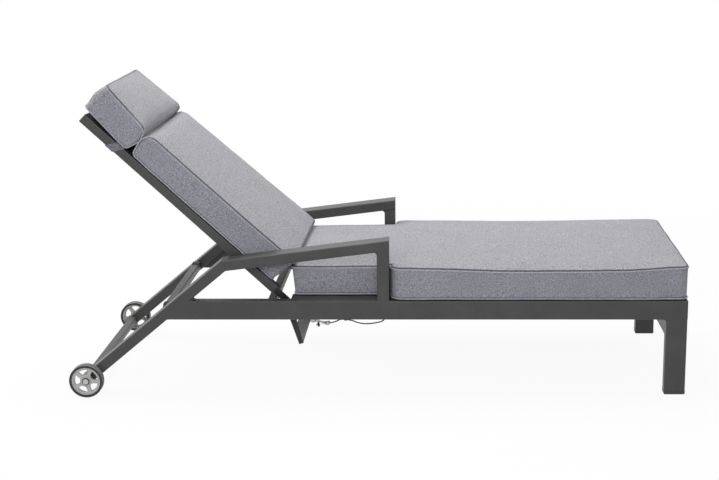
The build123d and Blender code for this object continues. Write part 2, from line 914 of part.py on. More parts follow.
def release_head():
    """The end block of the rod with the arm that carries the cable adjuster."""
    body = block(0, head_end, -head_half_wide, head_half_wide, -head_half_tall, head_half_tall)
    body += round_bar(head_half_tall, 0, 0, -head_half_wide, head_half_wide)
    body -= round_bar(head_hole_radius, 0, 0, -head_half_wide, head_half_wide)
    body -= long_round(rod_radius + running_clearance, rod_socket, head_end)
    slot_half = trigger_thick / 2 + trigger_slot_play
    body -= block(
        trigger_pin_at - trigger_top_radius - 2 * trigger_slot_play,
        head_end,
        -slot_half,
        slot_half,
        -head_half_tall,
        -rod_radius - side_play,
    )
    arm = outline_of(
        [
            (arm_plate_from, -head_half_tall / 2),
            (head_end, -head_half_tall / 2),
            (head_end, -head_half_tall - arm_plate_over),
            (boss_from - arm_plate_rear, boss_half_tall - wire_drop),
            (boss_to + arm_plate_over, boss_half_tall - wire_drop),
            (boss_to + arm_plate_over, -boss_half_tall - wire_drop),
            (boss_from - arm_plate_rear, -boss_half_tall - wire_drop),
            (arm_plate_from, -head_half_tall),
        ]
    )
    body += side_plate(arm, arm_plate_inner, head_half_wide)
    low, high = -boss_half_tall - wire_drop, boss_half_tall - wire_drop
    body += block(boss_from, boss_to, boss_side, arm_plate_inner, low, high)
    body -= long_round(adjuster_radius + running_clearance, boss_from, boss_to, wire_drop)
    pin = trigger_pin_radius + running_clearance
    return body - round_bar(pin, trigger_pin_at, -trigger_pin_drop, -head_half_wide, head_half_wide)


def trigger_pin():
    """The small pin that the trigger turns on."""
    return round_bar(trigger_pin_radius, trigger_pin_at, -trigger_pin_drop, -head_half_wide, head_half_wide)


def release_trigger():
    """The trigger that opens the gas valve, with a fork for the cable's wire."""
    half = trigger_thick / 2
    top = round_bar(trigger_top_radius, trigger_pin_at, -trigger_pin_drop, -half, half)
    stem_half = trigger_top_radius - side_play
    stem = block(
        trigger_pin_at - stem_half, trigger_pin_at + stem_half, -half, half, -fork_low, -trigger_pin_drop
    )
    fork = block(trigger_from, trigger_to, -fork_wide / 2, fork_wide / 2, -fork_low, -fork_top)
    gap_half = fork_slot / 2
    gap = block(trigger_from, trigger_to + fork_slot, -gap_half, gap_half, -fork_low, -fork_slot_top)
    body = top + stem + fork - gap
    bore = trigger_pin_radius + running_clearance
    return body - round_bar(bore, trigger_pin_at, -trigger_pin_drop, -half, half)


def cable_adjuster():
    """The adjusting barrel, its nut and its knurled head."""
    body = long_round(adjuster_radius, adjuster_from, adjuster_to, wire_drop)
    nut = extrude(Plane.YZ * RegularPolygon(adjuster_nut_radius, 6), adjuster_nut_thick)
    body += Pos(boss_from - adjuster_nut_thick, 0, -wire_drop) * nut
    body += long_round(adjuster_head_radius, boss_to, adjuster_to, wire_drop)
    return body - long_round(wire_radius + wire_clearance, adjuster_from, adjuster_to, wire_drop)


def trigger_wire():
    """The bare wire between adjuster and trigger, with its end barrel."""
    wire = long_round(wire_radius, nipple_at, adjuster_to, wire_drop)
    return wire + round_bar(nipple_radius, nipple_at, -wire_drop, -nipple_long / 2, nipple_long / 2)


# Release handle

def handle_bracket():
    """The plate inside the right rail with the stop for the cable's sheath."""
    outer = -rail_inner
    inner = outer + handle_plate
    plate = block(handle_plate_rear, handle_plate_front, outer, inner, handle_plate_low, handle_plate_high)
    plate -= round_bar(handle_pin_radius + running_clearance, handle_pin_x, handle_pin_z, outer, inner)
    stop = block(
        cable_end_x - handle_stop_half,
        cable_end_x + handle_stop_half,
        inner,
        inner + handle_reach,
        handle_stop_top - handle_stop_thick,
        handle_stop_top,
    )
    hole = Pos(cable_end_x, cable_end_y, handle_stop_top) * Cylinder(wire_radius + wire_clearance, cut_over)
    return plate + stop - hole


def handle_pin():
    """The pin that the handle turns on."""
    outer = -rail_inner
    inner = outer + handle_plate + handle_reach
    return round_bar(handle_pin_radius, handle_pin_x, handle_pin_z, outer, inner)


def handle_lever():
    """The lever that is lifted to free the backrest, with its finger tab."""
    y_low = cable_end_y - handle_bar_half_wide
    y_high = cable_end_y + handle_bar_half_wide
    z_low = handle_pin_z - handle_bar_half_tall
    z_high = handle_pin_z + handle_bar_half_tall
    body = block(handle_pin_x, handle_bar_front, y_low, y_high, z_low, z_high)
    body += round_bar(handle_bar_half_tall, handle_pin_x, handle_pin_z, y_low, y_high)
    body += block(
        handle_bar_front - handle_tab_long,
        handle_bar_front,
        cable_end_y - handle_tab_half_wide,
        cable_end_y + handle_tab_half_wide,
        z_low,
        z_low + handle_tab_thick,
    )
    bore = handle_pin_radius + running_clearance
    body -= round_bar(bore, handle_pin_x, handle_pin_z, y_low, y_high)
    seat = round_bar(nipple_radius + running_clearance, cable_end_x, handle_pin_z, y_low, y_high)
    slot = Cylinder(wire_radius + wire_clearance, handle_bar_half_tall * 2)
    return body - seat - Pos(cable_end_x, cable_end_y, z_low) * slot


def handle_wire():
    """The wire's upper end with the barrel that sits in the handle."""
    low = handle_stop_top + side_play
    middle = (low + handle_pin_z) / 2
    wire = Pos(cable_end_x, cable_end_y, middle) * Cylinder(wire_radius, handle_pin_z - low)
    y_low = cable_end_y - nipple_long / 2
    return wire + round_bar(nipple_radius, cable_end_x, handle_pin_z, y_low, y_low + nipple_long)


# Cable sheath

def beside_adjuster(lead):
    """A point on the adjuster's axis, past its head."""
    return (spring * Pos(adjuster_to + lead, 0, -wire_drop)).position


def corner_radii(points):
    """The largest smooth arc at each corner of a route."""
    radii = []
    for before, here, after in zip(points, points[1:], points[2:]):
        first, second = here - before, after - here
        shorter = min(first.length, second.length)
        radii.append(arc_share * shorter / tan(radians(first.get_angle(second)) / 2))
    return radii


def sheath(name, points):
    """A sheath tube along a route of straight runs and tangent arcs."""
    radii = corner_radii(points)
    route = FilletPolyline(*points, radius=radii)
    section = Plane(origin=route @ 0, z_dir=route % 0) * Circle(sheath_radius)
    body = sweep(section, path=route)
    ideal = pi * sheath_radius**2 * route.length
    print(name, "length", round(route.length, 1), "radii", [round(radius, 1) for radius in radii])
    print(name, "volume share", round(body.volume / ideal, 4))
    return body


def release_cable_rear():
    """The sheath from the adjuster to the clip."""
    clip = Vector(*cable_clip)
    before = clip - cable_clip_lead * clip_direction
    points = [beside_adjuster(0), beside_adjuster(cable_adjuster_lead), before, clip]
    return sheath("release_cable_rear", points)


def release_cable_front():
    """The sheath from the clip to the stop at the handle."""
    clip = Vector(*cable_clip)
    after = clip + cable_clip_lead * clip_direction
    across = cable_end_y - clip.Y
    middle = [
        Vector(x, clip.Y + share * across, z)
        for x, share, z in zip(cable_front_x, cable_front_shares, cable_front_z)
    ]
    end = Vector(cable_end_x, cable_end_y, handle_stop_top - handle_stop_thick)
    under = end - Vector(0, 0, cable_handle_lead)
    return sheath("release_cable_front", [clip, after, *middle, under, end])


# Cushions

def pad_section(half, low, high, draw, crown):
    """A cushion's section: flat underside, bulged sides and crowned top."""
    inner = half - draw
    middle = (low + high) / 2
    edges = [
        Line((-inner, low), (inner, low)),
        ThreePointArc((inner, low), (half, middle), (inner, high)),
        ThreePointArc((inner, high), (0, high + crown), (-inner, high)),
        ThreePointArc((-inner, high), (-half, middle), (-inner, low)),
    ]
    return make_face(edges)


def pad(first, last, section):
    """A cushion lofted along X, drawn in at both ends along a rounded edge."""
    stations = []
    for share in end_shares:
        draw = cushion_draw * (1 - sin(share * pi / 2))
        inset = cushion_end_draw * (1 - cos(share * pi / 2))
        stations.append((first + inset, draw))
        stations.append((last - inset, draw))
    stations.append(((first + last) / 2, 0))
    stations.sort()
    return loft([Plane.YZ.offset(x) * section(x, draw) for x, draw in stations], ruled=True)


def seat_cushion():
    """The seat cushion: narrow between the arms, broad toward the foot end."""
    low = rail_top + cushion_rest_gap
    high = low + seat_cushion_thick

    def seat_section(x, draw):
        return pad_section(seat_half_width - draw, low + draw, high - draw, cushion_draw, cushion_crown)

    def foot_section(x, draw):
        return pad_section(foot_half_width - draw, low + draw, high - draw, cushion_draw, cushion_crown)

    joined = seat_cushion_step + cushion_end_draw + cut_over
    seat = pad(seat_cushion_rear, joined, seat_section)
    return seat + pad(seat_cushion_step, seat_cushion_front, foot_section)


def back_cushion():
    """The back cushion, thicker at the lower end where it meets the seat."""
    low = back_tube_high + crank_tongue_thick + cushion_rest_gap
    top = back_tube_high + back_cushion_thick
    long = back_cushion_end - back_cushion_start

    def section(x, draw):
        high = top + back_cushion_heel * (x + back_cushion_end) / long
        return pad_section(seat_half_width - draw, low + draw, high - draw, cushion_draw, cushion_crown)

    return pad(-back_cushion_end, -back_cushion_start, section)


def pillow_section(y, draw):
    """The head pillow's side view, seen across the lounger: it rises toward its right end."""
    share = (pillow_half_width - y) / 2 / pillow_half_width
    front = -pillow_start - pillow_draw - draw
    rear = -pillow_end + pillow_draw + draw
    low_front = pillow_low + (pillow_right_foot - pillow_low) * share + draw
    low_rear = pillow_low + pillow_lift * share + draw
    high_front = low_front + pillow_thick + pillow_heel * (1 - share) - 2 * draw
    high_rear = low_rear + pillow_thick + pillow_heel * 2 * share - 2 * draw
    top = (high_front + high_rear) / 2 + pillow_crown - draw / 2
    middle_front = (front + pillow_draw, (low_front + high_front) / 2)
    middle_rear = (rear - pillow_draw, (low_rear + high_rear) / 2)
    edges = [
        Line((rear, low_rear), (front, low_front)),
        ThreePointArc((front, low_front), middle_front, (front, high_front)),
        ThreePointArc((front, high_front), ((front + rear) / 2, top), (rear, high_rear)),
        ThreePointArc((rear, high_rear), middle_rear, (rear, low_rear)),
    ]
    return make_face(edges)


def head_pillow():
    """The head pillow, drawn in at both ends."""
    stations = [(0, 0)]
    for share in end_shares:
        draw = pillow_draw * (1 - sin(share * pi / 2))
        inset = cushion_end_draw * (1 - cos(share * pi / 2))
        stations.append((pillow_half_width - inset, draw))
        stations.append((inset - pillow_half_width, draw))
    stations.sort()
    return loft([Plane.XZ.offset(-y) * pillow_section(y, draw) for y, draw in stations], ruled=True)


def cushion_strap():
    """The elastic band that holds the pillow down, round both back tubes."""
    outer = back_half_width + strap_gap
    top = back_tube_high + strap_gap
    low = back_tube_low - strap_gap
    top_edge = -strap_top_start
    low_edge = top_edge - strap_lean
    side = outline_of(
        [
            (top_edge, top + strap_thick),
            (top_edge - strap_wide, top + strap_thick),
            (low_edge - strap_wide, low - strap_thick),
            (low_edge, low - strap_thick),
        ]
    )
    left = side_plate(side, outer, outer + strap_thick)
    left += block(
        top_edge - strap_wide, top_edge, outer - strap_flap, outer + strap_thick / 2, top, top + strap_thick
    )
    under = block(low_edge - strap_wide, low_edge, -outer, outer, low - strap_thick, low)
    return left + under + mirror(left, about=Plane.XZ)


def turned(shape):
    """Turns a backrest piece up from its flat position."""
    return recline * shape


def on_spring(shape):
    """Places a piece along the gas spring."""
    return spring * shape


def group(solids):
    """Several separate solids that belong to one node."""
    return Compound(children=[solid.solid() for solid in solids])


def pair(make, place=None):
    """A left piece and its mirror image."""
    left = place(make()) if place else make()
    return {"left": left, "right": mirror(left, about=Plane.XZ)}


def all_nodes():
    """Every named piece of the lounger."""
    nodes = {}
    sided = {
        "rail": (rail, None),
        "armrest": (armrest, None),
        "arm_post": (arm_post, None),
        "rear_leg": (rear_leg, None),
        "foot_leg": (foot_leg, None),
        "foot_cap": (foot_cap, None),
        "wheel_axle": (wheel_axle, None),
        "wheel_rim": (wheel_rim, at_wheel),
        "wheel_tyre": (tyre, at_wheel),
        "back_tube": (back_tube, turned),
        "crank_plate": (crank_plate, turned),
    }
    for name, (make, place) in sided.items():
        for side, shape in pair(make, place).items():
            nodes[f"{name}_{side}"] = shape

    nodes["foot_cross_tube"] = foot_cross_tube()
    nodes["wheel_cross_tube"] = wheel_cross_tube()
    nodes["rest_cross_tube"] = rest_cross_tube()
    nodes["rest_buffers"] = group(rest_buffers())
    nodes["pivot_cross_tube"] = pivot_cross_tube()
    nodes["pivot_brackets"] = group(pair(pivot_bracket).values())
    nodes["pivot_pins"] = group(pair(pivot_pin).values())
    nodes["anchor_cross_tube"] = anchor_cross_tube()
    nodes["anchor_bracket"] = anchor_bracket()
    nodes["anchor_pin"] = anchor_pin()
    nodes["rear_leg_plugs"] = group(pair(rear_leg_plug).values())
    slat_half = rail_inner - seat_strip_wide
    seat_slats = slats(seat_slat_count, seat_slat_first, seat_slat_last, slat_half, rail_top)
    nodes["seat_slats"] = group(seat_slats + seat_strips())
    nodes["seat_cushion"] = seat_cushion()

    back_slats = slats(back_slat_count, -back_slat_last, -back_slat_first, back_inner, back_tube_high)
    nodes["back_top_tube"] = turned(back_top_tube())
    nodes["back_slats"] = group([turned(one) for one in back_slats])
    nodes["crank_cross_plate"] = turned(crank_cross_plate())
    nodes["crank_clevis"] = group([turned(ear) for ear in crank_clevis()])
    nodes["clevis_screws"] = group([turned(screw) for screw in clevis_screws()])
    nodes["pivot_bushes"] = group([turned(bush) for bush in pivot_bushes()])
    nodes["back_cushion"] = turned(back_cushion())
    nodes["head_pillow"] = turned(head_pillow())
    nodes["cushion_strap"] = turned(cushion_strap())

    nodes["gas_cylinder"] = on_spring(gas_cylinder())
    nodes["gas_guide"] = on_spring(gas_guide())
    nodes["cable_band"] = on_spring(cable_band())
    nodes["gas_rod"] = on_spring(gas_rod())
    nodes["release_head"] = on_spring(release_head())
    nodes["trigger_pin"] = on_spring(trigger_pin())
    nodes["release_trigger"] = on_spring(release_trigger())
    nodes["cable_adjuster"] = on_spring(cable_adjuster())
    nodes["trigger_wire"] = on_spring(trigger_wire())
    nodes["release_cable_rear"] = release_cable_rear()
    nodes["release_cable_front"] = release_cable_front()
    nodes["handle_bracket"] = handle_bracket()
    nodes["handle_pin"] = handle_pin()
    nodes["handle_lever"] = handle_lever()
    nodes["handle_wire"] = handle_wire()
    return nodes


def report_linkage():
    """Prints how far the gas spring turns and shortens when the backrest lies flat."""
    flat_pin = Vector(pivot_x + crank_pin_forward, 0, pivot_z - crank_pin_drop)
    run = anchor_x - flat_pin.X
    rise = anchor_z - flat_pin.Z
    print("spring length", round(spring_length, 3), "flat", round(hypot(run, rise), 3))
    print("spring angle", round(spring_angle, 3), "flat", round(degrees(atan2(rise, run)), 3))
    print("crank pin", [round(value, 3) for value in crank_pin])
    print("anchor", anchor_x, anchor_z, "leg slope", round(leg_slope, 3))


os.makedirs("parts", exist_ok=True)
for node_name, node_shape in all_nodes().items():
    export_step(node_shape, f"parts/{node_name}.step")
report_linkage()
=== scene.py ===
# %% [markdown]
# # A garden lounger with loose cushions
#
# The aluminium frame, the tyres and the gas spring come ready made from the imported model. They are solid,
# exact parts, so here they only get their finishes. The soft things, which no exact solid can show, are
# built in Blender around them: three cushions with piping, an elastic band and the cable of the release
# handle. The wheel rims are modelled here too, because their moulded shape is rounder, and so are fillers in
# the tubes' joints and black strips between the back slats, which are painted shade.
#
# Everything is in metres. X runs toward the foot end, Y away from the camera, Z up.

# %% Load the frame
import json
from math import atan2, cos, dist, pi, radians, sin, tanh

import bmesh
import bpy
from mathutils import Matrix, Vector, noise
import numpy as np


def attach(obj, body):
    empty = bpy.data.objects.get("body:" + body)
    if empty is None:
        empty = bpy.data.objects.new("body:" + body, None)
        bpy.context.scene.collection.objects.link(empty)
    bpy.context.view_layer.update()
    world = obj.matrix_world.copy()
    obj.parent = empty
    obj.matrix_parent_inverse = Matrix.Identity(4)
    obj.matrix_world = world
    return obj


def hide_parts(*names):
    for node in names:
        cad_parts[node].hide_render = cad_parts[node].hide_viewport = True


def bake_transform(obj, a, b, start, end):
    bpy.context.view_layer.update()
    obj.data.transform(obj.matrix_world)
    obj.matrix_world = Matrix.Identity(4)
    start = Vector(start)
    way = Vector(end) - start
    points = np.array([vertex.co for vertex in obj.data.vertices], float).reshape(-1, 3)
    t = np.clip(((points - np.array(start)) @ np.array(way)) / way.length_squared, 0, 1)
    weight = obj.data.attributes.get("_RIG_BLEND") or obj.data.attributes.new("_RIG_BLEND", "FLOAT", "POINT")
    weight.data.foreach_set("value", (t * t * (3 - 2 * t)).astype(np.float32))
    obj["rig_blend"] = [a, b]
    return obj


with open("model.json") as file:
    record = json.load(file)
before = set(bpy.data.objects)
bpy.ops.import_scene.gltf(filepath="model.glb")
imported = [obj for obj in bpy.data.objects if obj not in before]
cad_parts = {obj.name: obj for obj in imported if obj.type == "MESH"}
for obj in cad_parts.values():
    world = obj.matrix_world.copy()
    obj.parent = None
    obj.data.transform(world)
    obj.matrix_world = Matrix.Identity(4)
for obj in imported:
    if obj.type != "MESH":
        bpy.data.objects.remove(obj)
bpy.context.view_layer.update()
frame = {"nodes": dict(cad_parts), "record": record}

# %% [markdown]
# ## The camera
#
# The picture that this lounger follows was taken from about 1.4 m above the floor, facing the
# lounger's side, with a short telephoto lens. A camera tilted down by 12.9 degrees gives the same
# slight taper from the near side to the far one. The lens shift keeps the lounger in the middle
# without turning the camera, because a turned camera would show more of one end.

# %% Camera
camera_data = bpy.data.cameras.new("camera")
camera = bpy.data.objects.new("camera", camera_data)
bpy.context.scene.collection.objects.link(camera)
camera.location = (0.1874, -4.4401, 1.4205)
camera.rotation_euler = (radians(90 - 12.91), 0, 0)
camera_data.sensor_width = 36
camera_data.lens = 70.9
camera_data.shift_x = -0.1118
camera_data.shift_y = 0.00125
camera_data.clip_end = 200
bpy.context.scene.camera = camera
print("camera", tuple(camera.location), "lens", camera_data.lens)

# %% [markdown]
# ## The release cable
#
# A thin black sheath runs from the adjuster on the gas spring, through a clip on the cylinder, to
# the handle inside the right rail. A sheath is a smooth line, so it is drawn as a NURBS curve
# through a few control points. The order of 3 and the end points are set after the points are in,
# because Blender lowers the order of an empty spline. The spring moves when the backrest does, so
# each half of the cable is turned into a mesh tube along that same line and bends between the two
# parts that hold it.

# %% Cable helpers
CABLE_THICK = 0.004


def route_curve(name, points):
    """A NURBS curve with the route's points as its control points."""
    data = bpy.data.curves.new(name, "CURVE")
    data.dimensions = "3D"
    data.resolution_u = 8
    spline = data.splines.new("NURBS")
    spline.points.add(len(points) - 1)
    for point, place in zip(spline.points, points):
        point.co = (*place, 1)
    spline.order_u = 3
    spline.use_endpoint_u = True
    curve = bpy.data.objects.new(name, data)
    bpy.context.scene.collection.objects.link(curve)
    return curve


def line_of(curve):
    """The points that a curve without thickness passes through."""
    bpy.context.view_layer.update()
    graph = bpy.context.evaluated_depsgraph_get()
    mesh = bpy.data.meshes.new_from_object(curve.evaluated_get(graph))
    points = [vertex.co.copy() for vertex in mesh.vertices]
    bpy.data.meshes.remove(mesh)
    return points


def length_of(points):
    """How long a line through points is."""
    return sum((b - a).length for a, b in zip(points, points[1:]))


def alone(piece):
    """Makes one object the only selected and the active one."""
    bpy.ops.object.select_all(action="DESELECT")
    piece.select_set(True)
    bpy.context.view_layer.objects.active = piece


def sheath(name, points):
    """A mesh tube along a route, and the line that it follows."""
    curve = route_curve(name, points)
    line = line_of(curve)
    curve.data.bevel_depth = CABLE_THICK / 2
    curve.data.bevel_resolution = 4
    alone(curve)
    bpy.ops.object.convert(target="MESH")
    print(name, "length", round(length_of(line), 4))
    return bpy.context.object, line


# %% [markdown]
# ## The two halves
#
# Each route lists its control points from the spring to the handle. Both halves meet in the clip,
# so one can be taut and the other hang loose, and they still look like one cable.

# %% Cable routes
CABLE_CLIP = (-0.119, -0.0205, 0.1463)
REAR_ROUTE = [
    (-0.16998, 0, 0.12908),
    (-0.15318, 0, 0.13165),
    (-0.13514, -0.00877, 0.14491),
    CABLE_CLIP,
]
FRONT_ROUTE = [
    CABLE_CLIP,
    (-0.10286, -0.03223, 0.14769),
    (-0.090, -0.0551, 0.151),
    (-0.078, -0.0979, 0.159),
    (-0.060, -0.148, 0.170),
    (-0.037, -0.2011, 0.184),
    (-0.010, -0.2489, 0.201),
    (0.014, -0.2859, 0.217),
    (0.022, -0.297, 0.234),
    (0.022, -0.297, 0.252),
]

rear_sheath, rear_line = sheath("cable_sheath_rear", REAR_ROUTE)
length_of(rear_line)
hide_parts("release_cable_rear")
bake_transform(rear_sheath, "gas_rod", "gas_cylinder", start=REAR_ROUTE[0], end=CABLE_CLIP)

front_sheath, front_line = sheath("cable_sheath_front", FRONT_ROUTE)
length_of(front_line)
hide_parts("release_cable_front")
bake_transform(front_sheath, "gas_cylinder", "root", start=CABLE_CLIP, end=FRONT_ROUTE[-1])

# %% [markdown]
# ## Writing materials as sums
#
# A node material is a formula drawn with boxes and wires. It is easier to read as a formula, so a
# small class wraps one socket of a node and lets Python's own plus and times signs add the Math
# nodes.

# %% Sums of sockets
class Wire:
    """One output socket, which can be added, multiplied and so on."""

    def __init__(self, finish, socket):
        self.finish = finish
        self.socket = socket

    def math(self, operation, *values):
        made = self.finish.node("Math", {"operation": operation}, dict(enumerate((self, *values))))
        return made["Value"]

    def __add__(self, other):
        return self.math("ADD", other)

    def __mul__(self, other):
        return self.math("MULTIPLY", other)

    def __sub__(self, other):
        return self.math("SUBTRACT", other)

    def __pow__(self, other):
        return self.math("POWER", other)

    def sine(self):
        return self.math("SINE")

    def size(self):
        return self.math("ABSOLUTE")

    def between(self, low, high):
        """Rises from 0 at low to 1 at high, smoothly."""
        settings = {"interpolation_type": "SMOOTHSTEP"}
        inputs = {"Value": self, "From Min": low, "From Max": high}
        return self.finish.node("MapRange", settings, inputs)["Result"]


# %% [markdown]
# ## A material as an object
#
# `Finish` makes a material and the nodes in it. Colours go through Mix nodes, because a Math node
# would turn them grey.

# %% Material helpers
class Finish:
    """A material whose nodes are added by calls."""

    def __init__(self, name):
        self.material = bpy.data.materials.new(name)
        self.material.use_nodes = True
        self.tree = self.material.node_tree
        self.shader = self.tree.nodes["Principled BSDF"]
        self.outlet = self.tree.nodes["Material Output"]

    def plug(self, socket, value):
        """Links a wire to a socket, or sets the socket's own value."""
        if isinstance(value, Wire):
            self.tree.links.new(value.socket, socket)
        else:
            socket.default_value = value

    def node(self, kind, settings=None, inputs=None):
        """Adds a node, sets its settings, then its inputs, and gives its outputs by name."""
        made = self.tree.nodes.new("ShaderNode" + kind)
        for key, value in (settings or {}).items():
            setattr(made, key, value)
        for key, value in (inputs or {}).items():
            self.plug(made.inputs[key], value)
        return {socket.name: Wire(self, socket) for socket in made.outputs if socket.enabled}

    def place(self):
        """The place of a point on the piece, in metres."""
        return self.node("TexCoord")["Object"]

    def cloth_map(self):
        """The place on the cloth itself, in metres, from the piece's own UV map."""
        return self.node("TexCoord")["UV"]

    def parts(self, vector):
        """The three numbers of a vector."""
        split = self.node("SeparateXYZ", None, {"Vector": vector})
        return split["X"], split["Y"], split["Z"]

    def stretched(self, vector, scale):
        """A vector scaled by a different amount along each axis."""
        return self.node("Mapping", None, {"Vector": vector, "Scale": scale})["Vector"]

    def clouds(self, vector, scale, detail=3, rough=0.5):
        """Soft noise from 0 to 1."""
        inputs = {"Vector": vector, "Scale": scale, "Detail": detail, "Roughness": rough}
        return self.node("TexNoise", None, inputs)["Fac"]

    def blend(self, share, first, second):
        """A colour between two others."""
        made = self.tree.nodes.new("ShaderNodeMix")
        made.data_type = "RGBA"
        for key, value in ((0, share), (6, first), (7, second)):
            self.plug(made.inputs[key], value)
        return Wire(self, made.outputs[2])

    def bump(self, height, distance):
        """Bends the surface's normal as a height in metres would."""
        return self.node("Bump", None, {"Height": height, "Distance": distance})["Normal"]

    def surface(self, **values):
        """Sets sockets of the main shader; a name's underscores stand for spaces."""
        for key, value in values.items():
            self.plug(self.shader.inputs[key.replace("_", " ").title()], value)
        return self.material


def colour(red, green, blue):
    """A colour with full opacity, from its linear parts."""
    return (red, green, blue, 1.0)


def written(code):
    """A linear colour from the way that web pages write it."""
    parts = [int(code[i : i + 2], 16) / 255 for i in (1, 3, 5)]
    return colour(*[(v / 12.92) if v <= 0.04045 else ((v + 0.055) / 1.055) ** 2.4 for v in parts])


# %% [markdown]
# ## Finishes of the frame
#
# The aluminium tubes have an anthracite powder coat. Powder coat isn't smooth: the grains melt
# into a fine orange peel, which a very shallow bump gives. Dust and handling make it a little
# lighter and rougher in patches, so the colour and the roughness follow the same soft noise.

# %% Powder coat, steel and plastic
PEEL_DEEP = 0.00006
STREAK_DEEP = 0.00002
MOULD_GRAIN, MOULD_SCALE = 0.00005, 1200


def powder_coat(name, base, worn, rough):
    """A powder coat with its fine orange peel and faint patches."""
    finish = Finish(name)
    place = finish.place()
    patches = finish.clouds(place, 9, 4, 0.6)
    grain = finish.clouds(place, 900, 2, 0.6)
    specks = finish.clouds(place, 420, 3, 0.7).between(0.62, 0.78)
    tone = finish.blend(patches.between(0.35, 0.75), base, worn)
    tone = finish.blend(specks * 0.25, tone, worn)
    height = grain * 0.6 + finish.clouds(place, 300, 2, 0.5)
    return finish.surface(
        base_color=tone,
        roughness=patches * 0.1 + rough,
        normal=finish.bump(height, PEEL_DEEP),
    )


def plated(name, base, rough):
    """Bright plated steel, drawn along its length and a little uneven."""
    finish = Finish(name)
    place = finish.place()
    streaks = finish.clouds(finish.stretched(place, (40, 900, 900)), 1, 3, 0.6)
    patches = finish.clouds(place, 60, 3, 0.6)
    tone = finish.blend(patches, base, tuple(v * 0.8 for v in base[:3]) + (1.0,))
    return finish.surface(
        base_color=tone,
        metallic=1.0,
        roughness=streaks * 0.12 + rough,
        normal=finish.bump(streaks, STREAK_DEEP),
    )


def moulded(name, base, rough):
    """Moulded plastic or rubber with a fine grain."""
    finish = Finish(name)
    place = finish.place()
    patches = finish.clouds(place, 35, 3, 0.6)
    fine = finish.clouds(place, MOULD_SCALE, 2, 0.6)
    lighter = tuple(min(1, v * 1.25 + 0.004) for v in base[:3]) + (1.0,)
    return finish.surface(
        base_color=finish.blend(patches.between(0.4, 0.8), base, lighter),
        roughness=patches * 0.12 + rough,
        normal=finish.bump(fine, MOULD_GRAIN),
    )


# %% [markdown]
# ## Finishes of the wheels
#
# The wheels change tone with the distance from their axle: a tyre is worn grey on its tread and dark on its
# walls, and a rim has painted shade in the hollow round the bolt.

# %% Tyres and rims
AXLE_X, WHEEL_RADIUS, BOLT_HOLLOW = -0.882, 0.051, 0.0117


def from_axle(finish, place):
    """The distance of a point from the wheels' axle."""
    across, _, up = finish.parts(place)
    return ((across - AXLE_X) ** 2 + (up - WHEEL_RADIUS) ** 2) ** 0.5


def tyre_finish(wall, tread):
    """Rubber with dark walls and a tread that is worn grey."""
    finish = Finish("tyre_rubber")
    place = finish.place()
    radius = from_axle(finish, place)
    dust = finish.clouds(place, 140, 3, 0.6)
    worn = (radius + dust * 0.0012).between(WHEEL_RADIUS - 0.0012, WHEEL_RADIUS - 0.0002)
    fine = finish.clouds(place, 900, 2, 0.6)
    return finish.surface(
        base_color=finish.blend(worn, wall, tread),
        roughness=dust * 0.15 + 0.6,
        normal=finish.bump(fine, 0.0001),
    )


def rim_finish(light, dark):
    """Pale moulded plastic, with painted shade in the hollow round the bolt."""
    finish = Finish("rim_plastic")
    place = finish.place()
    radius = from_axle(finish, place)
    dust = finish.clouds(place, 90, 3, 0.6)
    # Painted shade: inside the radius of the bolt's hollow the rim takes the dark colour.
    clear_of_hollow_shade = (radius + dust * 0.0004).between(BOLT_HOLLOW - 0.0001, BOLT_HOLLOW + 0.0005)
    return finish.surface(
        base_color=finish.blend(clear_of_hollow_shade * (dust * 0.2 + 0.85), dark, light),
        roughness=dust * 0.15 + 0.35,
        normal=finish.bump(finish.clouds(place, MOULD_SCALE, 2, 0.6), MOULD_GRAIN),
    )


# %% [markdown]
# ## Painting the frame
#
# The record says which finish each part has, so one loop can hand them out. The feet are of a
# slightly lighter plastic than the plugs and bushes.

# %% Finishes on the parts
finishes = {
    "frame_paint": powder_coat("anthracite_coat", written("#41403f"), written("#4c4b4a"), 0.38),
    "black_steel": powder_coat("black_coat", written("#161618"), written("#222224"), 0.42),
    "black_plastic": moulded("black_plastic", written("#232325"), 0.45),
    "rubber_black": moulded("black_rubber", written("#19191a"), 0.6),
    "tyre_rubber": tyre_finish(written("#2f2d2c"), written("#8d8b87")),
    # The rim's dark colour is the painted shade in the hollow round its bolt.
    "rim_plastic": rim_finish(written("#d6d4ce"), written("#23211f")),
    "zinc_steel": plated("zinc_steel", colour(0.52, 0.52, 0.5), 0.32),
    "chrome_rod": plated("chrome_rod", colour(0.62, 0.62, 0.63), 0.08),
}


def dress(piece, material):
    """Gives a piece one finish in place of any other."""
    piece.data.materials.clear()
    piece.data.materials.append(material)


slots = {part["node"]: part["material_slot"] for part in frame["record"]["subparts"]}
for name, node in frame["nodes"].items():
    if slots[name] in finishes:
        dress(node, finishes[slots[name]])
foot_plastic = moulded("foot_plastic", written("#3d3d40"), 0.4)
for name in ("foot_cap_left", "foot_cap_right"):
    frame["nodes"][name].data.materials[0] = foot_plastic
dress(rear_sheath, finishes["rubber_black"])
dress(front_sheath, finishes["rubber_black"])
print("finishes", sorted(finishes))

# %% [markdown]
# ## The cushion cloth
#
# The covers are woven from two yarns, a light and a dark grey one, so the cloth looks speckled
# close up and even from a distance. The pattern is drawn on the UV map, which is in metres: sine
# waves make the warp and the weft, and noise stretched along each yarn makes it change tone as it
# runs. A second noise, longer across the lounger than along it, stands for slubs, the thick
# places in a cheap yarn.

# %% Woven cloth
THREAD, PIPING_THREAD, BAND_THREAD = 0.0011, 0.0008, 0.0014
YARN_TONES, SLUB_TONES = 110, (360, 240, 360)
SEAM_SHADE = written("#3c3c42")


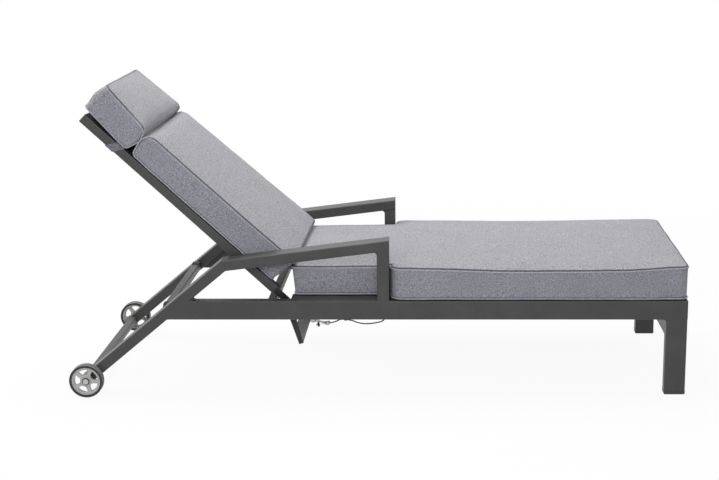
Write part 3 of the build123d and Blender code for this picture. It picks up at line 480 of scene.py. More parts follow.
def woven(name, light, dark, thread):
    """A plain weave of mottled yarns, with painted shade where the attribute seam_near is high."""
    finish = Finish(name)
    cloth = finish.cloth_map()
    across, along, _ = finish.parts(cloth)
    warp_yarn = finish.clouds(finish.stretched(cloth, (0.5 / thread, YARN_TONES, 1)), 1, 3, 0.65)
    weft_yarn = finish.clouds(finish.stretched(cloth, (YARN_TONES, 0.5 / thread, 7)), 1, 3, 0.65)
    over = (across * (pi / thread)).sine() * (along * (pi / thread)).sine()
    on_top = over.between(-0.35, 0.35)
    mottle = weft_yarn + on_top * (warp_yarn - weft_yarn)
    broad = finish.clouds(cloth, 9, 2, 0.5)
    slub = finish.clouds(finish.stretched(finish.place(), SLUB_TONES), 1, 2, 0.6)
    share = (mottle * 0.3 + slub * 0.7 + (broad - 0.5) * 0.05).between(0.35, 0.65)
    tone = finish.blend(share, dark, light)
    # Painted shade: beside the seams the cloth is darkened toward SEAM_SHADE, standing in for the shade in
    # the groove by the piping.
    groove = finish.node("Attribute", {"attribute_name": "seam_near"})["Fac"].between(0.5, 0.95)
    tone = finish.blend(groove * 0.8, tone, SEAM_SHADE)
    round_warp = (across * (pi / thread)).sine().size()
    round_weft = (along * (pi / thread)).sine().size()
    height = round_weft + on_top * (round_warp - round_weft) + mottle * 0.6
    finish.shader.inputs["Sheen Weight"].default_value = 0.25
    finish.shader.inputs["Sheen Roughness"].default_value = 0.5
    finish.shader.inputs["Specular IOR Level"].default_value = 0.25
    return finish.surface(
        base_color=tone,
        roughness=broad * 0.1 + 0.82,
        normal=finish.bump(height, 0.00025),
    )


cover_cloth = woven("cushion_weave", written("#cfced1"), written("#807f87"), THREAD)
# Painted highlight: the piping is of the same cloth as the cover, and its lighter colours stand for the
# light on its upper side.
piping_cloth_painted_lighter = woven("piping_weave_painted_lighter", written("#dadadd"), written("#a8a8ae"), PIPING_THREAD)
band_cloth = woven("band_weave", written("#a2a2a9"), written("#6b6b73"), BAND_THREAD)

# %% [markdown]
# ## Tools for modelling a cushion
#
# Each cushion starts as a cube. In edit mode its corners are moved to where the real cushion has
# them, the upright corners are rounded with a bevel, and straight cuts divide it into a grid of
# small faces. Its sharp edges are then just its seams.

# %% Edit mode helpers
def block(name, low, high):
    """A cube stretched between two corners, with its place in its mesh."""
    low, high = Vector(low), Vector(high)
    bpy.ops.mesh.primitive_cube_add(size=1, location=(low + high) / 2, scale=high - low)
    piece = bpy.context.object
    piece.name = piece.data.name = name
    bpy.ops.object.transform_apply(location=True, rotation=True, scale=True)
    return piece


def middle(part):
    """The middle of a vertex, an edge or a face."""
    if isinstance(part, bmesh.types.BMVert):
        return part.co
    return sum((vertex.co for vertex in part.verts), Vector()) / len(part.verts)


def choose(piece, kind, test):
    """In edit mode, selects the vertices, edges or faces that pass a test."""
    bpy.ops.mesh.select_mode(type=kind)
    bpy.ops.mesh.select_all(action="DESELECT")
    mesh = bmesh.from_edit_mesh(piece.data)
    for part in {"VERT": mesh.verts, "EDGE": mesh.edges, "FACE": mesh.faces}[kind]:
        if test(part):
            part.select_set(True)
    bmesh.update_edit_mesh(piece.data)


def cut(axis, places):
    """In edit mode, cuts the whole mesh across an axis at each place."""
    normal = [0, 0, 0]
    normal[axis] = 1
    for place in places:
        bpy.ops.mesh.select_all(action="SELECT")
        bpy.ops.mesh.bisect(plane_co=[place * share for share in normal], plane_no=normal)


def even(low, high, step):
    """Evenly spaced places between two ends, about a step apart."""
    count = max(1, round((high - low) / step))
    return [low + (high - low) * number / count for number in range(1, count)]


def shift(piece, start, move):
    """In edit mode, moves the vertices at a place."""
    choose(piece, "VERT", lambda vertex: (vertex.co - Vector(start)).length < 0.0005)
    bpy.ops.transform.translate(value=move)


def soften(piece, test, radius, segments=4):
    """In edit mode, rounds the edges that pass a test."""
    choose(piece, "EDGE", test)
    bpy.ops.mesh.bevel(offset=radius, segments=segments, affect="EDGES")


def runs_along(edge, axis):
    """Whether an edge runs along an axis, within its own slope."""
    way = edge.verts[1].co - edge.verts[0].co
    return abs(way[axis]) > 0.8 * way.length


# %% [markdown]
# ## Filling a cushion
#
# A foam cushion is a little too big for its cover, so the cloth stands out between the seams and
# the seams pull in. Blender's cloth simulation does that: the seams are pinned, gravity is off,
# and a pressure inside blows the panels out for 20 frames. A cap keeps each point within a few
# millimetres of where it started, because foam is flat in the middle and only round at the edges.
# The cap fades in with a tanh curve so that it leaves no kink.

# %% Cloth simulation
FRAMES = 20
PRESSURE = 4.0
SEAM_ANGLE = radians(30)


def mark_seams(piece):
    """Puts the sharp edges in a vertex group, for pinning and for the piping."""
    bpy.ops.object.mode_set(mode="EDIT")
    bpy.ops.mesh.select_mode(type="EDGE")
    bpy.ops.mesh.select_all(action="DESELECT")
    bpy.ops.mesh.edges_select_sharp(sharpness=SEAM_ANGLE)
    mesh = bmesh.from_edit_mesh(piece.data)
    layers = mesh.edges.layers.float
    crease = layers.get("crease_edge") or layers.new("crease_edge")
    seam_edges = [edge for edge in mesh.edges if edge.select]
    for edge in seam_edges:
        edge[crease] = 1.0
    pinned = {vertex.index for edge in seam_edges for vertex in edge.verts}
    bpy.ops.object.mode_set(mode="OBJECT")
    piece.vertex_groups.new(name="seam").add(list(pinned), 1.0, "REPLACE")
    return pinned


def inflate(piece, pinned, caps):
    """Blows the panels out by cloth simulation, within caps for top, underside, sides and ends."""
    pins = piece.vertex_groups.new(name="pins")
    pins.add(sorted(pinned), 1.0, "REPLACE")
    start = [vertex.co.copy() for vertex in piece.data.vertices]
    facing = [vertex.normal.copy() for vertex in piece.data.vertices]
    alone(piece)
    bpy.ops.object.modifier_add(type="CLOTH")
    cloth = piece.modifiers[-1]
    cloth.settings.quality = 6
    cloth.settings.mass = 0.3
    cloth.settings.tension_stiffness = 18
    cloth.settings.compression_stiffness = 12
    cloth.settings.shear_stiffness = 6
    cloth.settings.bending_stiffness = 1.5
    cloth.settings.use_pressure = True
    cloth.settings.uniform_pressure_force = PRESSURE
    cloth.settings.vertex_group_mass = "pins"
    cloth.settings.effector_weights.gravity = 0
    cloth.collision_settings.use_collision = False
    cloth.point_cache.frame_start = 1
    cloth.point_cache.frame_end = FRAMES
    for number in range(1, FRAMES + 1):
        bpy.context.scene.frame_set(number)
    bpy.ops.object.modifier_apply(modifier=cloth.name)
    bpy.context.scene.frame_set(1)
    furthest = 0
    for vertex, before, normal in zip(piece.data.vertices, start, facing):
        move = vertex.co - before
        shares = (max(0, normal.z) ** 2, max(0, -normal.z) ** 2, normal.y**2, normal.x**2)
        cap = sum(share * one for share, one in zip(shares, caps))
        if move.length > 1e-7:
            furthest = max(furthest, move.length)
            vertex.co = before + move * (cap * tanh(move.length / cap) / move.length)
    reach = round(furthest * 1000, 1)
    print(piece.name, "vertices", len(start), "furthest before the cap", reach, "mm")


# %% [markdown]
# ## Life in the cloth
#
# Sewn covers are never quite straight. A smooth noise field moves every point by up to about a
# millimetre. Finer ripples fade in near the seams, where the cloth is gathered.

# %% Waves and ripples
SWAY, DENT, PUCKER = 0.00112, 0.00096, 0.0007
SWAY_SCALE, DENT_SCALE, PUCKER_SCALE = 7, 16, 55
PUCKER_SHARES = (0.0, 0.8, 1.0, 0.6, 0.25)


def seam_points(piece):
    """The numbers of the vertices that lie on a seam."""
    group = piece.vertex_groups["seam"].index
    return {
        vertex.index
        for vertex in piece.data.vertices
        for share in vertex.groups
        if share.group == group and share.weight > 0.99
    }


def unsettle(piece, seed):
    """Moves the points by smooth noise, with short ripples beside the seams."""
    seams = seam_points(piece)
    near = dict.fromkeys(seams, 0)
    links = {}
    for edge in piece.data.edges:
        a, b = edge.vertices
        links.setdefault(a, []).append(b)
        links.setdefault(b, []).append(a)
    ring = seams
    for depth in range(1, len(PUCKER_SHARES)):
        ring = {other for one in ring for other in links[one] if other not in near}
        near.update(dict.fromkeys(ring, depth))
    normals = [vertex.normal.copy() for vertex in piece.data.vertices]
    for vertex, normal in zip(piece.data.vertices, normals):
        here = vertex.co + Vector((seed, seed * 0.37, seed * 0.71))
        vertex.co += noise.noise_vector(here * SWAY_SCALE) * SWAY
        vertex.co += normal * noise.noise(here * DENT_SCALE) * DENT
        if vertex.index in near:
            share = PUCKER_SHARES[near[vertex.index]]
            vertex.co += normal * noise.noise(here * PUCKER_SCALE) * PUCKER * share


# %% [markdown]
# ## Piping
#
# Piping is a cord in a strip of cloth that is sewn into the seam. It is made from a copy of the
# cushion of which only the seams stay. They become a curve with thickness, so the piping wanders
# as they do. Both need a UV map in metres for the weave, and unfolding each panel flat gives one.

# %% Piping
PIPING_RADIUS, PIPING_PROUD, PIPING_DROP = 0.0023, 0.0012, 0.006


def panel_map(piece):
    """Unfolds each panel flat on the UV map, in metres."""
    alone(piece)
    while piece.data.uv_layers:
        piece.data.uv_layers.remove(piece.data.uv_layers[0])
    cloth = piece.data.uv_layers.new(name="cloth")
    for face in piece.data.polygons:
        axis = max(range(3), key=lambda one: abs(face.normal[one]))
        first, second = {0: (1, 2), 1: (0, 2), 2: (0, 1)}[axis]
        for loop in face.loop_indices:
            place = piece.data.vertices[piece.data.loops[loop].vertex_index].co
            cloth.data[loop].uv = (place[first], place[second])


def piping(name, cushion):
    """A cord under cloth, sewn along the seams: it stands out, and hangs under the upper seam."""
    alone(cushion)
    bpy.ops.object.duplicate()
    cord = bpy.context.object
    cord.name = cord.data.name = name
    seams = seam_points(cord)
    outward = {index: Vector() for index in seams}
    upper = set()
    for face in cord.data.polygons:
        seamed = seams.intersection(face.vertices)
        if abs(face.normal.z) < 0.7:
            for index in seamed:
                outward[index] += face.normal
        elif face.normal.z > 0:
            upper |= seamed
    for index, way in outward.items():
        move = Vector((way.x, way.y, 0)).normalized() * PIPING_PROUD
        if index in upper:
            move.z -= PIPING_DROP
        cord.data.vertices[index].co += move
    bpy.ops.object.mode_set(mode="EDIT")
    choose(cord, "EDGE", lambda edge: all(vertex.index in seams for vertex in edge.verts))
    bpy.ops.mesh.select_all(action="INVERT")
    bpy.ops.mesh.delete(type="EDGE_FACE")
    bpy.ops.mesh.select_mode(type="VERT")
    bpy.ops.mesh.select_all(action="DESELECT")
    bpy.ops.mesh.select_loose()
    bpy.ops.mesh.delete(type="VERT")
    bpy.ops.object.mode_set(mode="OBJECT")
    bpy.ops.object.convert(target="CURVE")
    cord = bpy.context.object
    for spline in cord.data.splines:
        spline.use_smooth = True
    cord.data.bevel_depth = PIPING_RADIUS
    cord.data.bevel_resolution = 2
    cord.data.use_fill_caps = True
    bpy.ops.object.convert(target="MESH")
    cord = bpy.context.object
    bpy.ops.object.mode_set(mode="EDIT")
    bpy.ops.mesh.select_all(action="SELECT")
    bpy.ops.mesh.normals_make_consistent(inside=False)
    bpy.ops.object.mode_set(mode="OBJECT")
    bpy.ops.object.shade_smooth()
    cord.vertex_groups.clear()
    panel_map(cord)
    dress(cord, piping_cloth_painted_lighter)
    print(name, "faces", len(cord.data.polygons))
    return cord


# %% [markdown]
# ## From block to cushion
#
# The steps so far follow each other in the same way for all three cushions. Subdivision rounds the form, and
# the creased seams stay sharp. How near a point is to a seam is stored as an attribute, which the cloth's
# material reads to paint shade beside the seams.

# %% One cushion after another
def modified(piece, kind, **settings):
    """Adds a modifier to a piece, sets it and applies it."""
    alone(piece)
    bpy.ops.object.modifier_add(type=kind)
    modifier = piece.modifiers[-1]
    for key, value in settings.items():
        setattr(modifier, key, value)
    bpy.ops.object.modifier_apply(modifier=modifier.name)


def finish_cushion(piece, seed, caps):
    """Fills, smooths, unsettles and maps a cushion, and sews its piping on."""
    pinned = mark_seams(piece)
    inflate(piece, pinned, caps)
    modified(piece, "SUBSURF", levels=1, render_levels=1)
    unsettle(piece, seed)
    bpy.ops.object.shade_smooth()
    panel_map(piece)
    seam = piece.vertex_groups["seam"].index
    near = piece.data.attributes.new("seam_near", "FLOAT", "POINT")
    for vertex in piece.data.vertices:
        near.data[vertex.index].value = sum(g.weight for g in vertex.groups if g.group == seam)
    dress(piece, cover_cloth)
    return piping(piece.name + "_piping", piece)


# %% [markdown]
# ## The seat cushion
#
# The seat is one long cushion in the shape of a T: narrow between the armrests, and as wide as
# the frame in front of them. It starts as the narrow block, a cut marks where it widens, and the
# sides past the cut are extruded outwards. Its upright corners are rounded, most where it widens.

# %% Seat cushion
REAR, STEP, FRONT = -0.262, 0.040, 0.9335
SEAT_HALF, FOOT_HALF = 0.2705, 0.332
SEAT_LOW, SEAT_HIGH = 0.3, 0.3915
RIGHT_RISE = (
    (REAR, -0.006),
    (-0.01, -0.006),
    (0.06, 0.004),
    (0.42, -0.004),
    (0.7, -0.003),
    (FRONT, 0.008),
)
LEFT_RISE = ((REAR, 0.004), (0.06, 0.008), (0.48, 0.006), (FRONT, 0.012))
REAR_LEAN, LEAN_LONG = 0.008, 0.05
STEP_CORNER, FOOT_CORNER, REAR_CORNER = 0.036, 0.026, 0.014
PANEL_GRID, WALL_GRID = 0.014, 0.0135
SEAT_CAPS = (0.009, 0.0045, 0.0042, 0.0095)


def rise_at(stops, x):
    """The height between stops along x, in a smooth curve through them."""
    for (before, low), (after, high) in zip(stops, stops[1:]):
        if x <= after:
            share = max(0.0, (x - before) / (after - before))
            return low + (high - low) * (1 - cos(pi * share)) / 2
    return stops[-1][1]


def settle(cushion):
    """Lets the upper seam rise and sag as on a used cushion, and leans the rear end."""
    for vertex in cushion.data.vertices:
        x, y, z = vertex.co
        up = (z - SEAT_LOW) / (SEAT_HIGH - SEAT_LOW)
        left = (y / FOOT_HALF + 1) / 2
        vertex.co.z += up * (rise_at(RIGHT_RISE, x) * (1 - left) + rise_at(LEFT_RISE, x) * left)
        vertex.co.x += (1 - up) * REAR_LEAN * max(0.0, 1 - (x - REAR) / LEAN_LONG)


def upright_edge(low, high, least_y=0.0):
    """A test for upright edges between two places along x, at least so far from the middle."""
    return lambda edge: (
        runs_along(edge, 2) and low < middle(edge).x < high and abs(middle(edge).y) > least_y
    )


seat_cushion = block(
    "seat_cushion_cover", (REAR, -SEAT_HALF, SEAT_LOW), (FRONT, SEAT_HALF, SEAT_HIGH)
)
bpy.ops.object.mode_set(mode="EDIT")
cut(0, [STEP])
for side in (-1, 1):
    choose(seat_cushion, "FACE", lambda face: face.normal.y * side > 0.9 and middle(face).x > STEP)
    bpy.ops.mesh.extrude_region_move(
        TRANSFORM_OT_translate={"value": (0, side * (FOOT_HALF - SEAT_HALF), 0)}
    )
soften(seat_cushion, upright_edge(-1, 0.1, SEAT_HALF + 0.01), STEP_CORNER, 6)
soften(seat_cushion, upright_edge(0.9, 1, SEAT_HALF + 0.01), FOOT_CORNER, 6)
soften(seat_cushion, upright_edge(-1, -0.2), REAR_CORNER)
cut(0, even(REAR, STEP, PANEL_GRID) + even(STEP, FRONT, PANEL_GRID))
cut(1, even(-FOOT_HALF, FOOT_HALF, PANEL_GRID))
cut(2, even(SEAT_LOW, SEAT_HIGH, WALL_GRID))
bpy.ops.object.mode_set(mode="OBJECT")
settle(seat_cushion)
seat_piping = finish_cushion(seat_cushion, 1.7, SEAT_CAPS)

# %% [markdown]
# ## Made flat, then turned up
#
# What lies on the backrest is easier to model in the backrest's flat position, where its faces
# are square to the axes. The pivot is then the origin, and X grows toward the foot end. When a
# piece is done, its mesh is turned by the backrest's own angle and moved to the pivot.

# %% Turning up with the backrest
RECLINE = radians(43.3)
PIVOT = Vector((-0.288, 0, 0.27))


def turn_up(piece):
    """Turns a piece that was made flat up with the backrest."""
    turn = Matrix.Rotation(RECLINE, 4, "Y")
    piece.data.transform(Matrix.Translation(PIVOT) @ turn)
    piece.data.update()


# %% [markdown]
# ## The back cushion
#
# At the foot it ends square, with a seam all round. At the head it is sewn to the pillow along a
# line half way up its thickness, so that end has a middle seam that stands out a little, and
# rounded corners above and below it. Its far side has been pushed up a little by use.

# %% Back cushion
BACK_LOW, BACK_MIDDLE, BACK_HIGH, BACK_TOP = 0.0315, 0.079, 0.112, 0.134
BACK_HALF = 0.2705
HEAD_X, MIDDLE_X, FOOT_X = -0.636, -0.645, -0.064
FOOT_LIFT, FAR_HEAD_LIFT, FAR_FOOT_LIFT = 0.007, 0.005, 0.021
HEAD_ROUND_HIGH, HEAD_ROUND_LOW, BACK_CORNER = 0.022, 0.012, 0.012
BACK_CAPS = (0.011, 0.0035, 0.004, 0.005)


def crosswise_edge(low_x, high_x, low_z, high_z):
    """A test for edges that run from side to side within a box in X and Z."""
    return lambda edge: (
        runs_along(edge, 1) and low_x < middle(edge).x < high_x and low_z < middle(edge).z < high_z
    )


back_cushion = block(
    "back_cushion_cover", (HEAD_X, -BACK_HALF, BACK_LOW), (FOOT_X, BACK_HALF, BACK_HIGH)
)
bpy.ops.object.mode_set(mode="EDIT")
cut(2, [BACK_MIDDLE])
for side in (-1, 1):
    far = side > 0
    for x, z, move in (
        (HEAD_X, BACK_MIDDLE, (MIDDLE_X - HEAD_X, 0, 0)),
        (HEAD_X, BACK_HIGH, (0, 0, FAR_HEAD_LIFT * far)),
        (FOOT_X, BACK_HIGH, (0.004, 0, FOOT_LIFT + FAR_FOOT_LIFT * far)),
        (FOOT_X, BACK_MIDDLE, (-0.003, 0, 0)),
        (FOOT_X, BACK_LOW, (-0.012, 0, 0)),
    ):
        shift(back_cushion, (x, side * BACK_HALF, z), move)
soften(back_cushion, crosswise_edge(-1, -0.6, 0.1, 1), HEAD_ROUND_HIGH, 6)
soften(back_cushion, crosswise_edge(-1, -0.6, 0, 0.05), HEAD_ROUND_LOW, 5)
soften(back_cushion, upright_edge(-0.1, 0), BACK_CORNER)
cut(0, even(MIDDLE_X, FOOT_X, PANEL_GRID))
cut(1, even(-BACK_HALF, BACK_HALF, PANEL_GRID))
cut(2, even(BACK_LOW, BACK_MIDDLE, WALL_GRID) + even(BACK_MIDDLE, BACK_TOP, WALL_GRID))
bpy.ops.object.mode_set(mode="OBJECT")
back_piping = finish_cushion(back_cushion, 4.1, BACK_CAPS)
turn_up(back_cushion)
turn_up(back_piping)

# %% [markdown]
# ## The head pillow
#
# The pillow is a short cushion of the same make. It hangs from its seam on the back cushion and
# from an elastic band, and its right end has slipped up a little, so the two ends have different
# side views. Moving the corners of the starting block to both side views gives that twist.

# %% Head pillow
RIGHT_VIEW = {
    "rear_low": (-0.833, 0.0445),
    "rear_high": (-0.826, 0.135),
    "front_high": (-0.658, 0.116),
    "front_middle": (-0.6465, 0.0765),
    "front_low": (-0.664, 0.0305),
}
LEFT_VIEW = {
    "rear_low": (-0.835, 0.0305),
    "rear_high": (-0.836, 0.113),
    "front_high": (-0.651, 0.124),
    "front_middle": (-0.645, 0.0765),
    "front_low": (-0.668, 0.0305),
}
PILLOW_HALF = 0.2685
AT = {"rear": -0.83, "front": -0.66, "low": 0.03, "middle": 0.07, "high": 0.11}
REAR_BULGE = 0.009
FRONT_ROUND_HIGH, FRONT_ROUND_LOW, PILLOW_CORNER = 0.014, 0.009, 0.018
PILLOW_GRID, PILLOW_CROSS_GRID = 0.0125, 0.0135
PILLOW_CAPS = (0.012, 0.0035, 0.006, 0.014)

head_pillow = block(
    "head_pillow_cover",
    (AT["rear"], -PILLOW_HALF, AT["low"]),
    (AT["front"], PILLOW_HALF, AT["high"]),
)
bpy.ops.object.mode_set(mode="EDIT")
cut(2, [AT["middle"]])
for y, view in ((-PILLOW_HALF, RIGHT_VIEW), (PILLOW_HALF, LEFT_VIEW)):
    low, high = view["rear_low"], view["rear_high"]
    bulge = ((low[0] + high[0]) / 2 - REAR_BULGE, (low[1] + high[1]) / 2)
    for corner, (x, z) in (view | {"rear_middle": bulge}).items():
        end, level = corner.split("_")
        shift(head_pillow, (AT[end], y, AT[level]), (x - AT[end], 0, z - AT[level]))
soften(head_pillow, crosswise_edge(-0.7, 0, 0.1, 1), FRONT_ROUND_HIGH, 5)
soften(head_pillow, crosswise_edge(-0.7, 0, 0, 0.05), FRONT_ROUND_LOW)
soften(head_pillow, upright_edge(-1, -0.8), PILLOW_CORNER)
cut(0, even(AT["rear"], -0.65, PILLOW_GRID))
cut(1, even(-PILLOW_HALF, PILLOW_HALF, PILLOW_CROSS_GRID))
cut(2, even(AT["low"], 0.13, PILLOW_GRID))
bpy.ops.object.mode_set(mode="OBJECT")
pillow_piping = finish_cushion(head_pillow, 7.9, PILLOW_CAPS)
turn_up(head_pillow)
turn_up(pillow_piping)

for cushion, cord, body, node in (
    (seat_cushion, seat_piping, "root", "seat_cushion"),
    (back_cushion, back_piping, "backrest", "back_cushion"),
    (head_pillow, pillow_piping, "backrest", "head_pillow"),
):
    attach(cushion, body)
    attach(cord, body)
    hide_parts(node)

# %% [markdown]
# ## The elastic band
#
# A flat woven band is sewn to the pillow and runs round the back of the frame. It is a strip of
# faces extruded along its route in the backrest's flat position: from the pillow's seam, down the
# outside of one tube, across below both tubes and up the other side. Solidify gives it its
# thickness.

# %% Elastic band
BAND_WIDE, BAND_THICK = 0.029, 0.0015
TUBE_SIDE, BAND_TOP, BAND_LOW = 0.2731, 0.02705, -0.00255
BAND_FOLD, BAND_LEAN, BAND_SAG, BAND_EDGE = 0.022, 0.020, 0.0006, -0.664
drop = BAND_LOW - BAND_TOP
band_stops = [(-TUBE_SIDE + BAND_FOLD, BAND_TOP, 0)]
for share in (0, 0.25, 0.5, 0.75, 1):
    band_stops.append((-TUBE_SIDE, BAND_TOP + drop * share, BAND_LEAN * share))
mirrored = [(-y, z, lean) for y, z, lean in reversed(band_stops)]
for number in range(1, 16):
    share = number / 16
    sagged = BAND_LOW - BAND_SAG * sin(pi * share)
    band_stops.append((TUBE_SIDE * (2 * share - 1), sagged, BAND_LEAN))
band_stops += mirrored

bpy.ops.mesh.primitive_plane_add(size=1)
cushion_band = bpy.context.object
cushion_band.name = cushion_band.data.name = "elastic_band"
bpy.ops.object.mode_set(mode="EDIT")
first_y, first_z, _ = band_stops[0]
second_y, second_z, _ = band_stops[1]
for x, y, place in (
    (0.5, -0.5, (BAND_EDGE, first_y, first_z)),
    (-0.5, -0.5, (BAND_EDGE - BAND_WIDE, first_y, first_z)),
    (0.5, 0.5, (BAND_EDGE, second_y, second_z)),
    (-0.5, 0.5, (BAND_EDGE - BAND_WIDE, second_y, second_z)),
):
    shift(cushion_band, (x, y, 0), Vector(place) - Vector((x, y, 0)))
here = Vector((BAND_EDGE - BAND_WIDE / 2, second_y, second_z))
choose(cushion_band, "EDGE", lambda edge: (middle(edge) - here).length < 0.001)
for before, after in zip(band_stops[1:], band_stops[2:]):
    step = (-(after[2] - before[2]), after[0] - before[0], after[1] - before[1])
    bpy.ops.mesh.extrude_region_move(TRANSFORM_OT_translate={"value": step})
bpy.ops.mesh.select_all(action="SELECT")
bpy.ops.mesh.normals_make_consistent(inside=False)
bpy.ops.object.mode_set(mode="OBJECT")
modified(cushion_band, "SOLIDIFY", thickness=BAND_THICK, offset=0)
bpy.ops.object.shade_smooth_by_angle(angle=radians(40))
panel_map(cushion_band)
dress(cushion_band, band_cloth)
turn_up(cushion_band)
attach(cushion_band, "backrest")
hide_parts("cushion_strap")

# %% [markdown]
# ## The wheel rims
#
# A rim is one moulding: a ring under the tyre, a thin web with five openings, and a hub with a
# hollow for the bolt's head. Everything round about it comes from one profile that is spun about
# the axle. The openings are cut by a rounded block, turned a fifth of a circle each time, and a
# small bevel gives all edges the soft look of moulded plastic.

# %% Wheel rims
WHEEL_MIDDLE, RIM_RADIUS, RIM_SEGMENTS = 0.355, 0.0435, 80
RIM_PROFILE = [
    (0.00508, -0.0128),
    (0.0145, -0.0128),
    (0.0145, -0.0015),
    (0.0385, -0.0015),
    (0.0385, -0.010),
    (RIM_RADIUS, -0.010),
    (RIM_RADIUS, 0.010),
    (0.0385, 0.010),
    (0.0385, 0.0075),
    (0.0145, 0.0075),
    (0.0145, 0.0128),
    (BOLT_HOLLOW, 0.0128),
    (BOLT_HOLLOW, 0.009),
    (0.00508, 0.009),
]
OPENINGS, RIM_BEVEL = 5, 0.0006


def spun_rim(name):
    """The rim without its openings, round the Y axis, with its outer side toward +Y."""
    bpy.ops.mesh.primitive_circle_add(vertices=len(RIM_PROFILE), radius=1)
    rim = bpy.context.object
    rim.name = rim.data.name = name
    ring = [vertex.co.copy() for vertex in rim.data.vertices]
    bpy.ops.object.mode_set(mode="EDIT")
    for start, (radius, along) in zip(ring, RIM_PROFILE):
        shift(rim, start, Vector((radius, along, 0)) - start)
    bpy.ops.mesh.select_all(action="SELECT")
    bpy.ops.mesh.spin(steps=RIM_SEGMENTS, angle=2 * pi, center=(0, 0, 0), axis=(0, 1, 0))
    bpy.ops.mesh.select_all(action="SELECT")
    bpy.ops.mesh.remove_doubles(threshold=0.00002)
    bpy.ops.mesh.normals_make_consistent(inside=False)
    bpy.ops.object.mode_set(mode="OBJECT")
    return rim


def opening():
    """A block in the shape of one opening, on the +X side of the axle."""
    near, far, half, wide, between = 0.0178, 0.031, 0.02, 0.0162, 0.0095
    cutter = block("opening", (near, -half, -wide), (far, half, wide))
    bpy.ops.object.mode_set(mode="EDIT")
    cut(2, [-between, 0, between])
    for thick in (-half, half):
        for side in (-1, 1):
            shift(cutter, (near, thick, side * wide), (0, 0, -side * 0.0102))
            shift(cutter, (near, thick, side * between), (0, 0, -side * 0.0065))
            shift(cutter, (far, thick, side * between), (0.0032, 0, 0))
        shift(cutter, (far, thick, 0), (0.0046, 0, 0))

    def at_corner(edge):
        height = abs(middle(edge).z)
        return runs_along(edge, 1) and (height > 0.0155 or abs(height - 0.006) < 0.0001)

    soften(cutter, at_corner, 0.0035, 5)
    bpy.ops.object.mode_set(mode="OBJECT")
    return cutter


def rim_on(side, turn):
    """A rim on the left (1) or right (-1) wheel; turn is where its first opening points."""
    body = "wheel_left" if side > 0 else "wheel_right"
    rim = spun_rim(body.replace("wheel", "moulded_rim"))
    for number in range(OPENINGS):
        cutter = opening()
        cutter.data.transform(Matrix.Rotation(-turn - number * 2 * pi / OPENINGS, 4, "Y"))
        modified(rim, "BOOLEAN", object=cutter, operation="DIFFERENCE", solver="EXACT")
        bpy.data.objects.remove(cutter)
    modified(rim, "BEVEL", width=RIM_BEVEL, segments=2)
    if side < 0:
        rim.data.transform(Matrix.Rotation(pi, 4, "Z"))
    rim.data.transform(Matrix.Translation((AXLE_X, side * WHEEL_MIDDLE, WHEEL_RADIUS)))
    bpy.ops.object.shade_smooth_by_angle(angle=radians(35))
    dress(rim, finishes["rim_plastic"])
    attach(rim, body)
    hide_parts(body.replace("wheel", "wheel_rim"))
    print(rim.name, "faces", len(rim.data.polygons))


rim_on(1, radians(160))
rim_on(-1, radians(4))

# %% [markdown]
# ## Dressed joints
#
# The frame's tubes have rounded corners, so a groove is left where one tube meets the side of
# another. On a painted frame that groove is filled with weld and sanded flush before coating. A
# thin strip along each joint, level with the tubes' faces, does the same.

# %% Joint fillers
FILLER_WIDE, FILLER_IN, FILLER_OUT = 0.008, 0.337, 0.3401
JOINTS = {
    "foot_leg": ((0.8725, 0.2385), (0.9295, 0.2385)),
    "post_top": ((0.0025, 0.4462), (0.0315, 0.4498)),
    "post_foot": ((0.0025, 0.2935), (0.0315, 0.2935)),
    "rear_leg": ((-0.6323, 0.2404), (-0.5682, 0.2938)),
}
for joint, (start, end) in JOINTS.items():
    long = dist(start, end)
    slope = atan2(end[1] - start[1], end[0] - start[0])
    halfway = Matrix.Translation(((start[0] + end[0]) / 2, 0, (start[1] + end[1]) / 2))
    turn = halfway @ Matrix.Rotation(-slope, 4, "Y")
    for side, word in ((1, "left"), (-1, "right")):
        low, high = sorted((side * FILLER_IN, side * FILLER_OUT))
        filler = block(
            f"joint_{joint}_{word}",
            (-long / 2, low, -FILLER_WIDE / 2),
            (long / 2, high, FILLER_WIDE / 2),
        )
        filler.data.transform(turn)
        dress(filler, finishes["frame_paint"])
        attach(filler, "root")
print("joints filled", len(JOINTS) * 2)

# %% [markdown]
# ## Painted shade strips between the back slats
#
# Between the slats under the pillow there is only shade, and no light comes through. Strips in the black
# rubber finish, pressed in between the slats, are painted shade that stands for it.

# %% Slat strips
STRIPS = ((0.650, 0.0118), (0.718, 0.0118), (0.7845, 0.0086))
STRIP_HALF, STRIP_LOW, STRIP_HIGH = 0.2415, 0.0155, 0.023
# Painted shade: each black strip fills the gap between two slats, where there is only shade.
for number, (along, wide) in enumerate(STRIPS, 1):
    strip = block(
        f"slat_strip_{number}",
        (-along - wide / 2, -STRIP_HALF, STRIP_LOW),
        (-along + wide / 2, STRIP_HALF, STRIP_HIGH),
    )
    bpy.ops.object.mode_set(mode="EDIT")
    soften(strip, lambda edge: runs_along(edge, 1), 0.001, 2)
    bpy.ops.object.mode_set(mode="OBJECT")
    turn_up(strip)
    dress(strip, finishes["rubber_black"])
    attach(strip, "backrest")

# %% [markdown]
# ## The floor
#
# The lounger stands in a white studio. The floor is pale where it throws light back. For the
# camera it is mixed toward plain white, so that only a faint shadow is left around the feet.

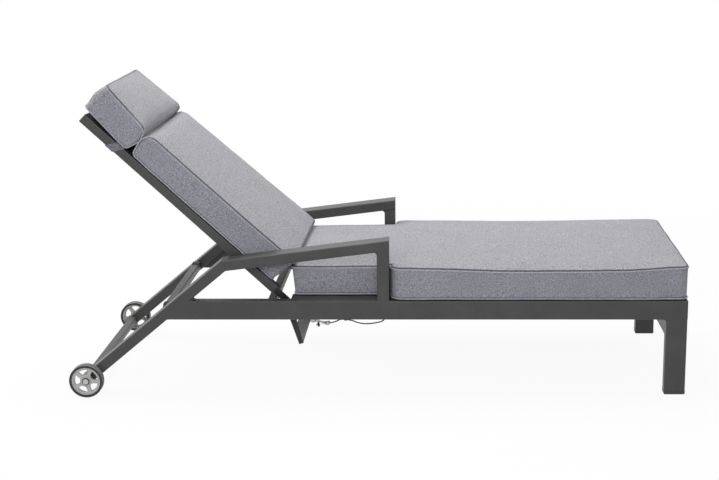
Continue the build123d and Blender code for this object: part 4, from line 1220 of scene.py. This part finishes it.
# %% Floor
OTHER_RAYS = ("Is Glossy Ray", "Is Transmission Ray")
WHITE = colour(1, 1, 1)
bpy.ops.mesh.primitive_grid_add(x_subdivisions=4, y_subdivisions=4, size=120)
floor = bpy.context.object
floor.name = "floor"
floor_finish = Finish("floor_white")
ray = floor_finish.node("LightPath")
direct = ray["Is Camera Ray"]
for kind in OTHER_RAYS:
    direct = direct.math("MAXIMUM", ray[kind])
across, along, _ = floor_finish.parts(floor_finish.place())
far = ((across**2 + along**2) ** 0.5).between(1.4, 3.5)
floor_finish.surface(
    base_color=floor_finish.blend(direct, colour(0.42, 0.42, 0.42), colour(0.95, 0.95, 0.95)),
    roughness=0.9,
)
glow = floor_finish.tree.nodes.new("ShaderNodeEmission")
glow.inputs["Color"].default_value = WHITE
mixed = floor_finish.tree.nodes.new("ShaderNodeMixShader")
floor_finish.plug(mixed.inputs[0], direct * (far * 0.07 + 0.93))
join = floor_finish.tree.links.new
join(floor_finish.shader.outputs[0], mixed.inputs[1])
join(glow.outputs[0], mixed.inputs[2])
join(mixed.outputs[0], floor_finish.outlet.inputs["Surface"])
dress(floor, floor_finish.material)

# %% [markdown]
# ## The sky
#
# The sky gives a weak bluish light from all sides. The camera sees plain white in its place.

# %% Sky
world = bpy.data.worlds.new("studio")
bpy.context.scene.world = world
world.use_nodes = True
sky = world.node_tree
background = sky.nodes["Background"]
background.inputs["Color"].default_value = colour(0.87, 0.9, 1.0)
background.inputs["Strength"].default_value = 0.29
white = sky.nodes.new("ShaderNodeBackground")
white.inputs["Color"].default_value = WHITE
white.inputs["Strength"].default_value = 1.0
path = sky.nodes.new("ShaderNodeLightPath")
seen = path.outputs["Is Camera Ray"]
join = sky.links.new
for kind in OTHER_RAYS:
    larger = sky.nodes.new("ShaderNodeMath")
    larger.operation = "MAXIMUM"
    join(seen, larger.inputs[0])
    join(path.outputs[kind], larger.inputs[1])
    seen = larger.outputs[0]
choice = sky.nodes.new("ShaderNodeMixShader")
join(seen, choice.inputs[0])
join(background.outputs[0], choice.inputs[1])
join(white.outputs[0], choice.inputs[2])
join(choice.outputs[0], sky.nodes["World Output"].inputs["Surface"])

# %% [markdown]
# ## The lamps
#
# One large soft lamp overhead, a little behind, makes the upper faces lighter than the sides. One
# above the camera lights the sides right in under the arms. A warm one from the head end lights
# the cross tubes.

# %% Lamps
def soft_lamp(name, place, target, size, power, tint):
    """A rectangular area lamp that faces a point."""
    data = bpy.data.lights.new(name, "AREA")
    data.shape = "RECTANGLE"
    data.size, data.size_y = size
    data.energy = power
    data.color = tint
    lamp = bpy.data.objects.new(name, data)
    bpy.context.scene.collection.objects.link(lamp)
    lamp.location = place
    lamp.rotation_euler = (Vector(target) - Vector(place)).to_track_quat("-Z", "Y").to_euler()


soft_lamp("overhead", (-0.7, 0.9, 3.6), (-0.7, 0.9, 0.3), (4.6, 2.8), 116, (1.0, 0.99, 0.95))
soft_lamp("front", (-0.3, -3.5, 1.9), (0, 0, 0.3), (2.8, 1.2), 48, (0.91, 0.93, 1.0))
soft_lamp("head_end", (-4.4, 0.9, 1.9), (-0.4, 0, 0.3), (2.0, 1.6), 55, (1.0, 0.95, 0.87))
bpy.context.scene.view_settings.view_transform = "Standard"
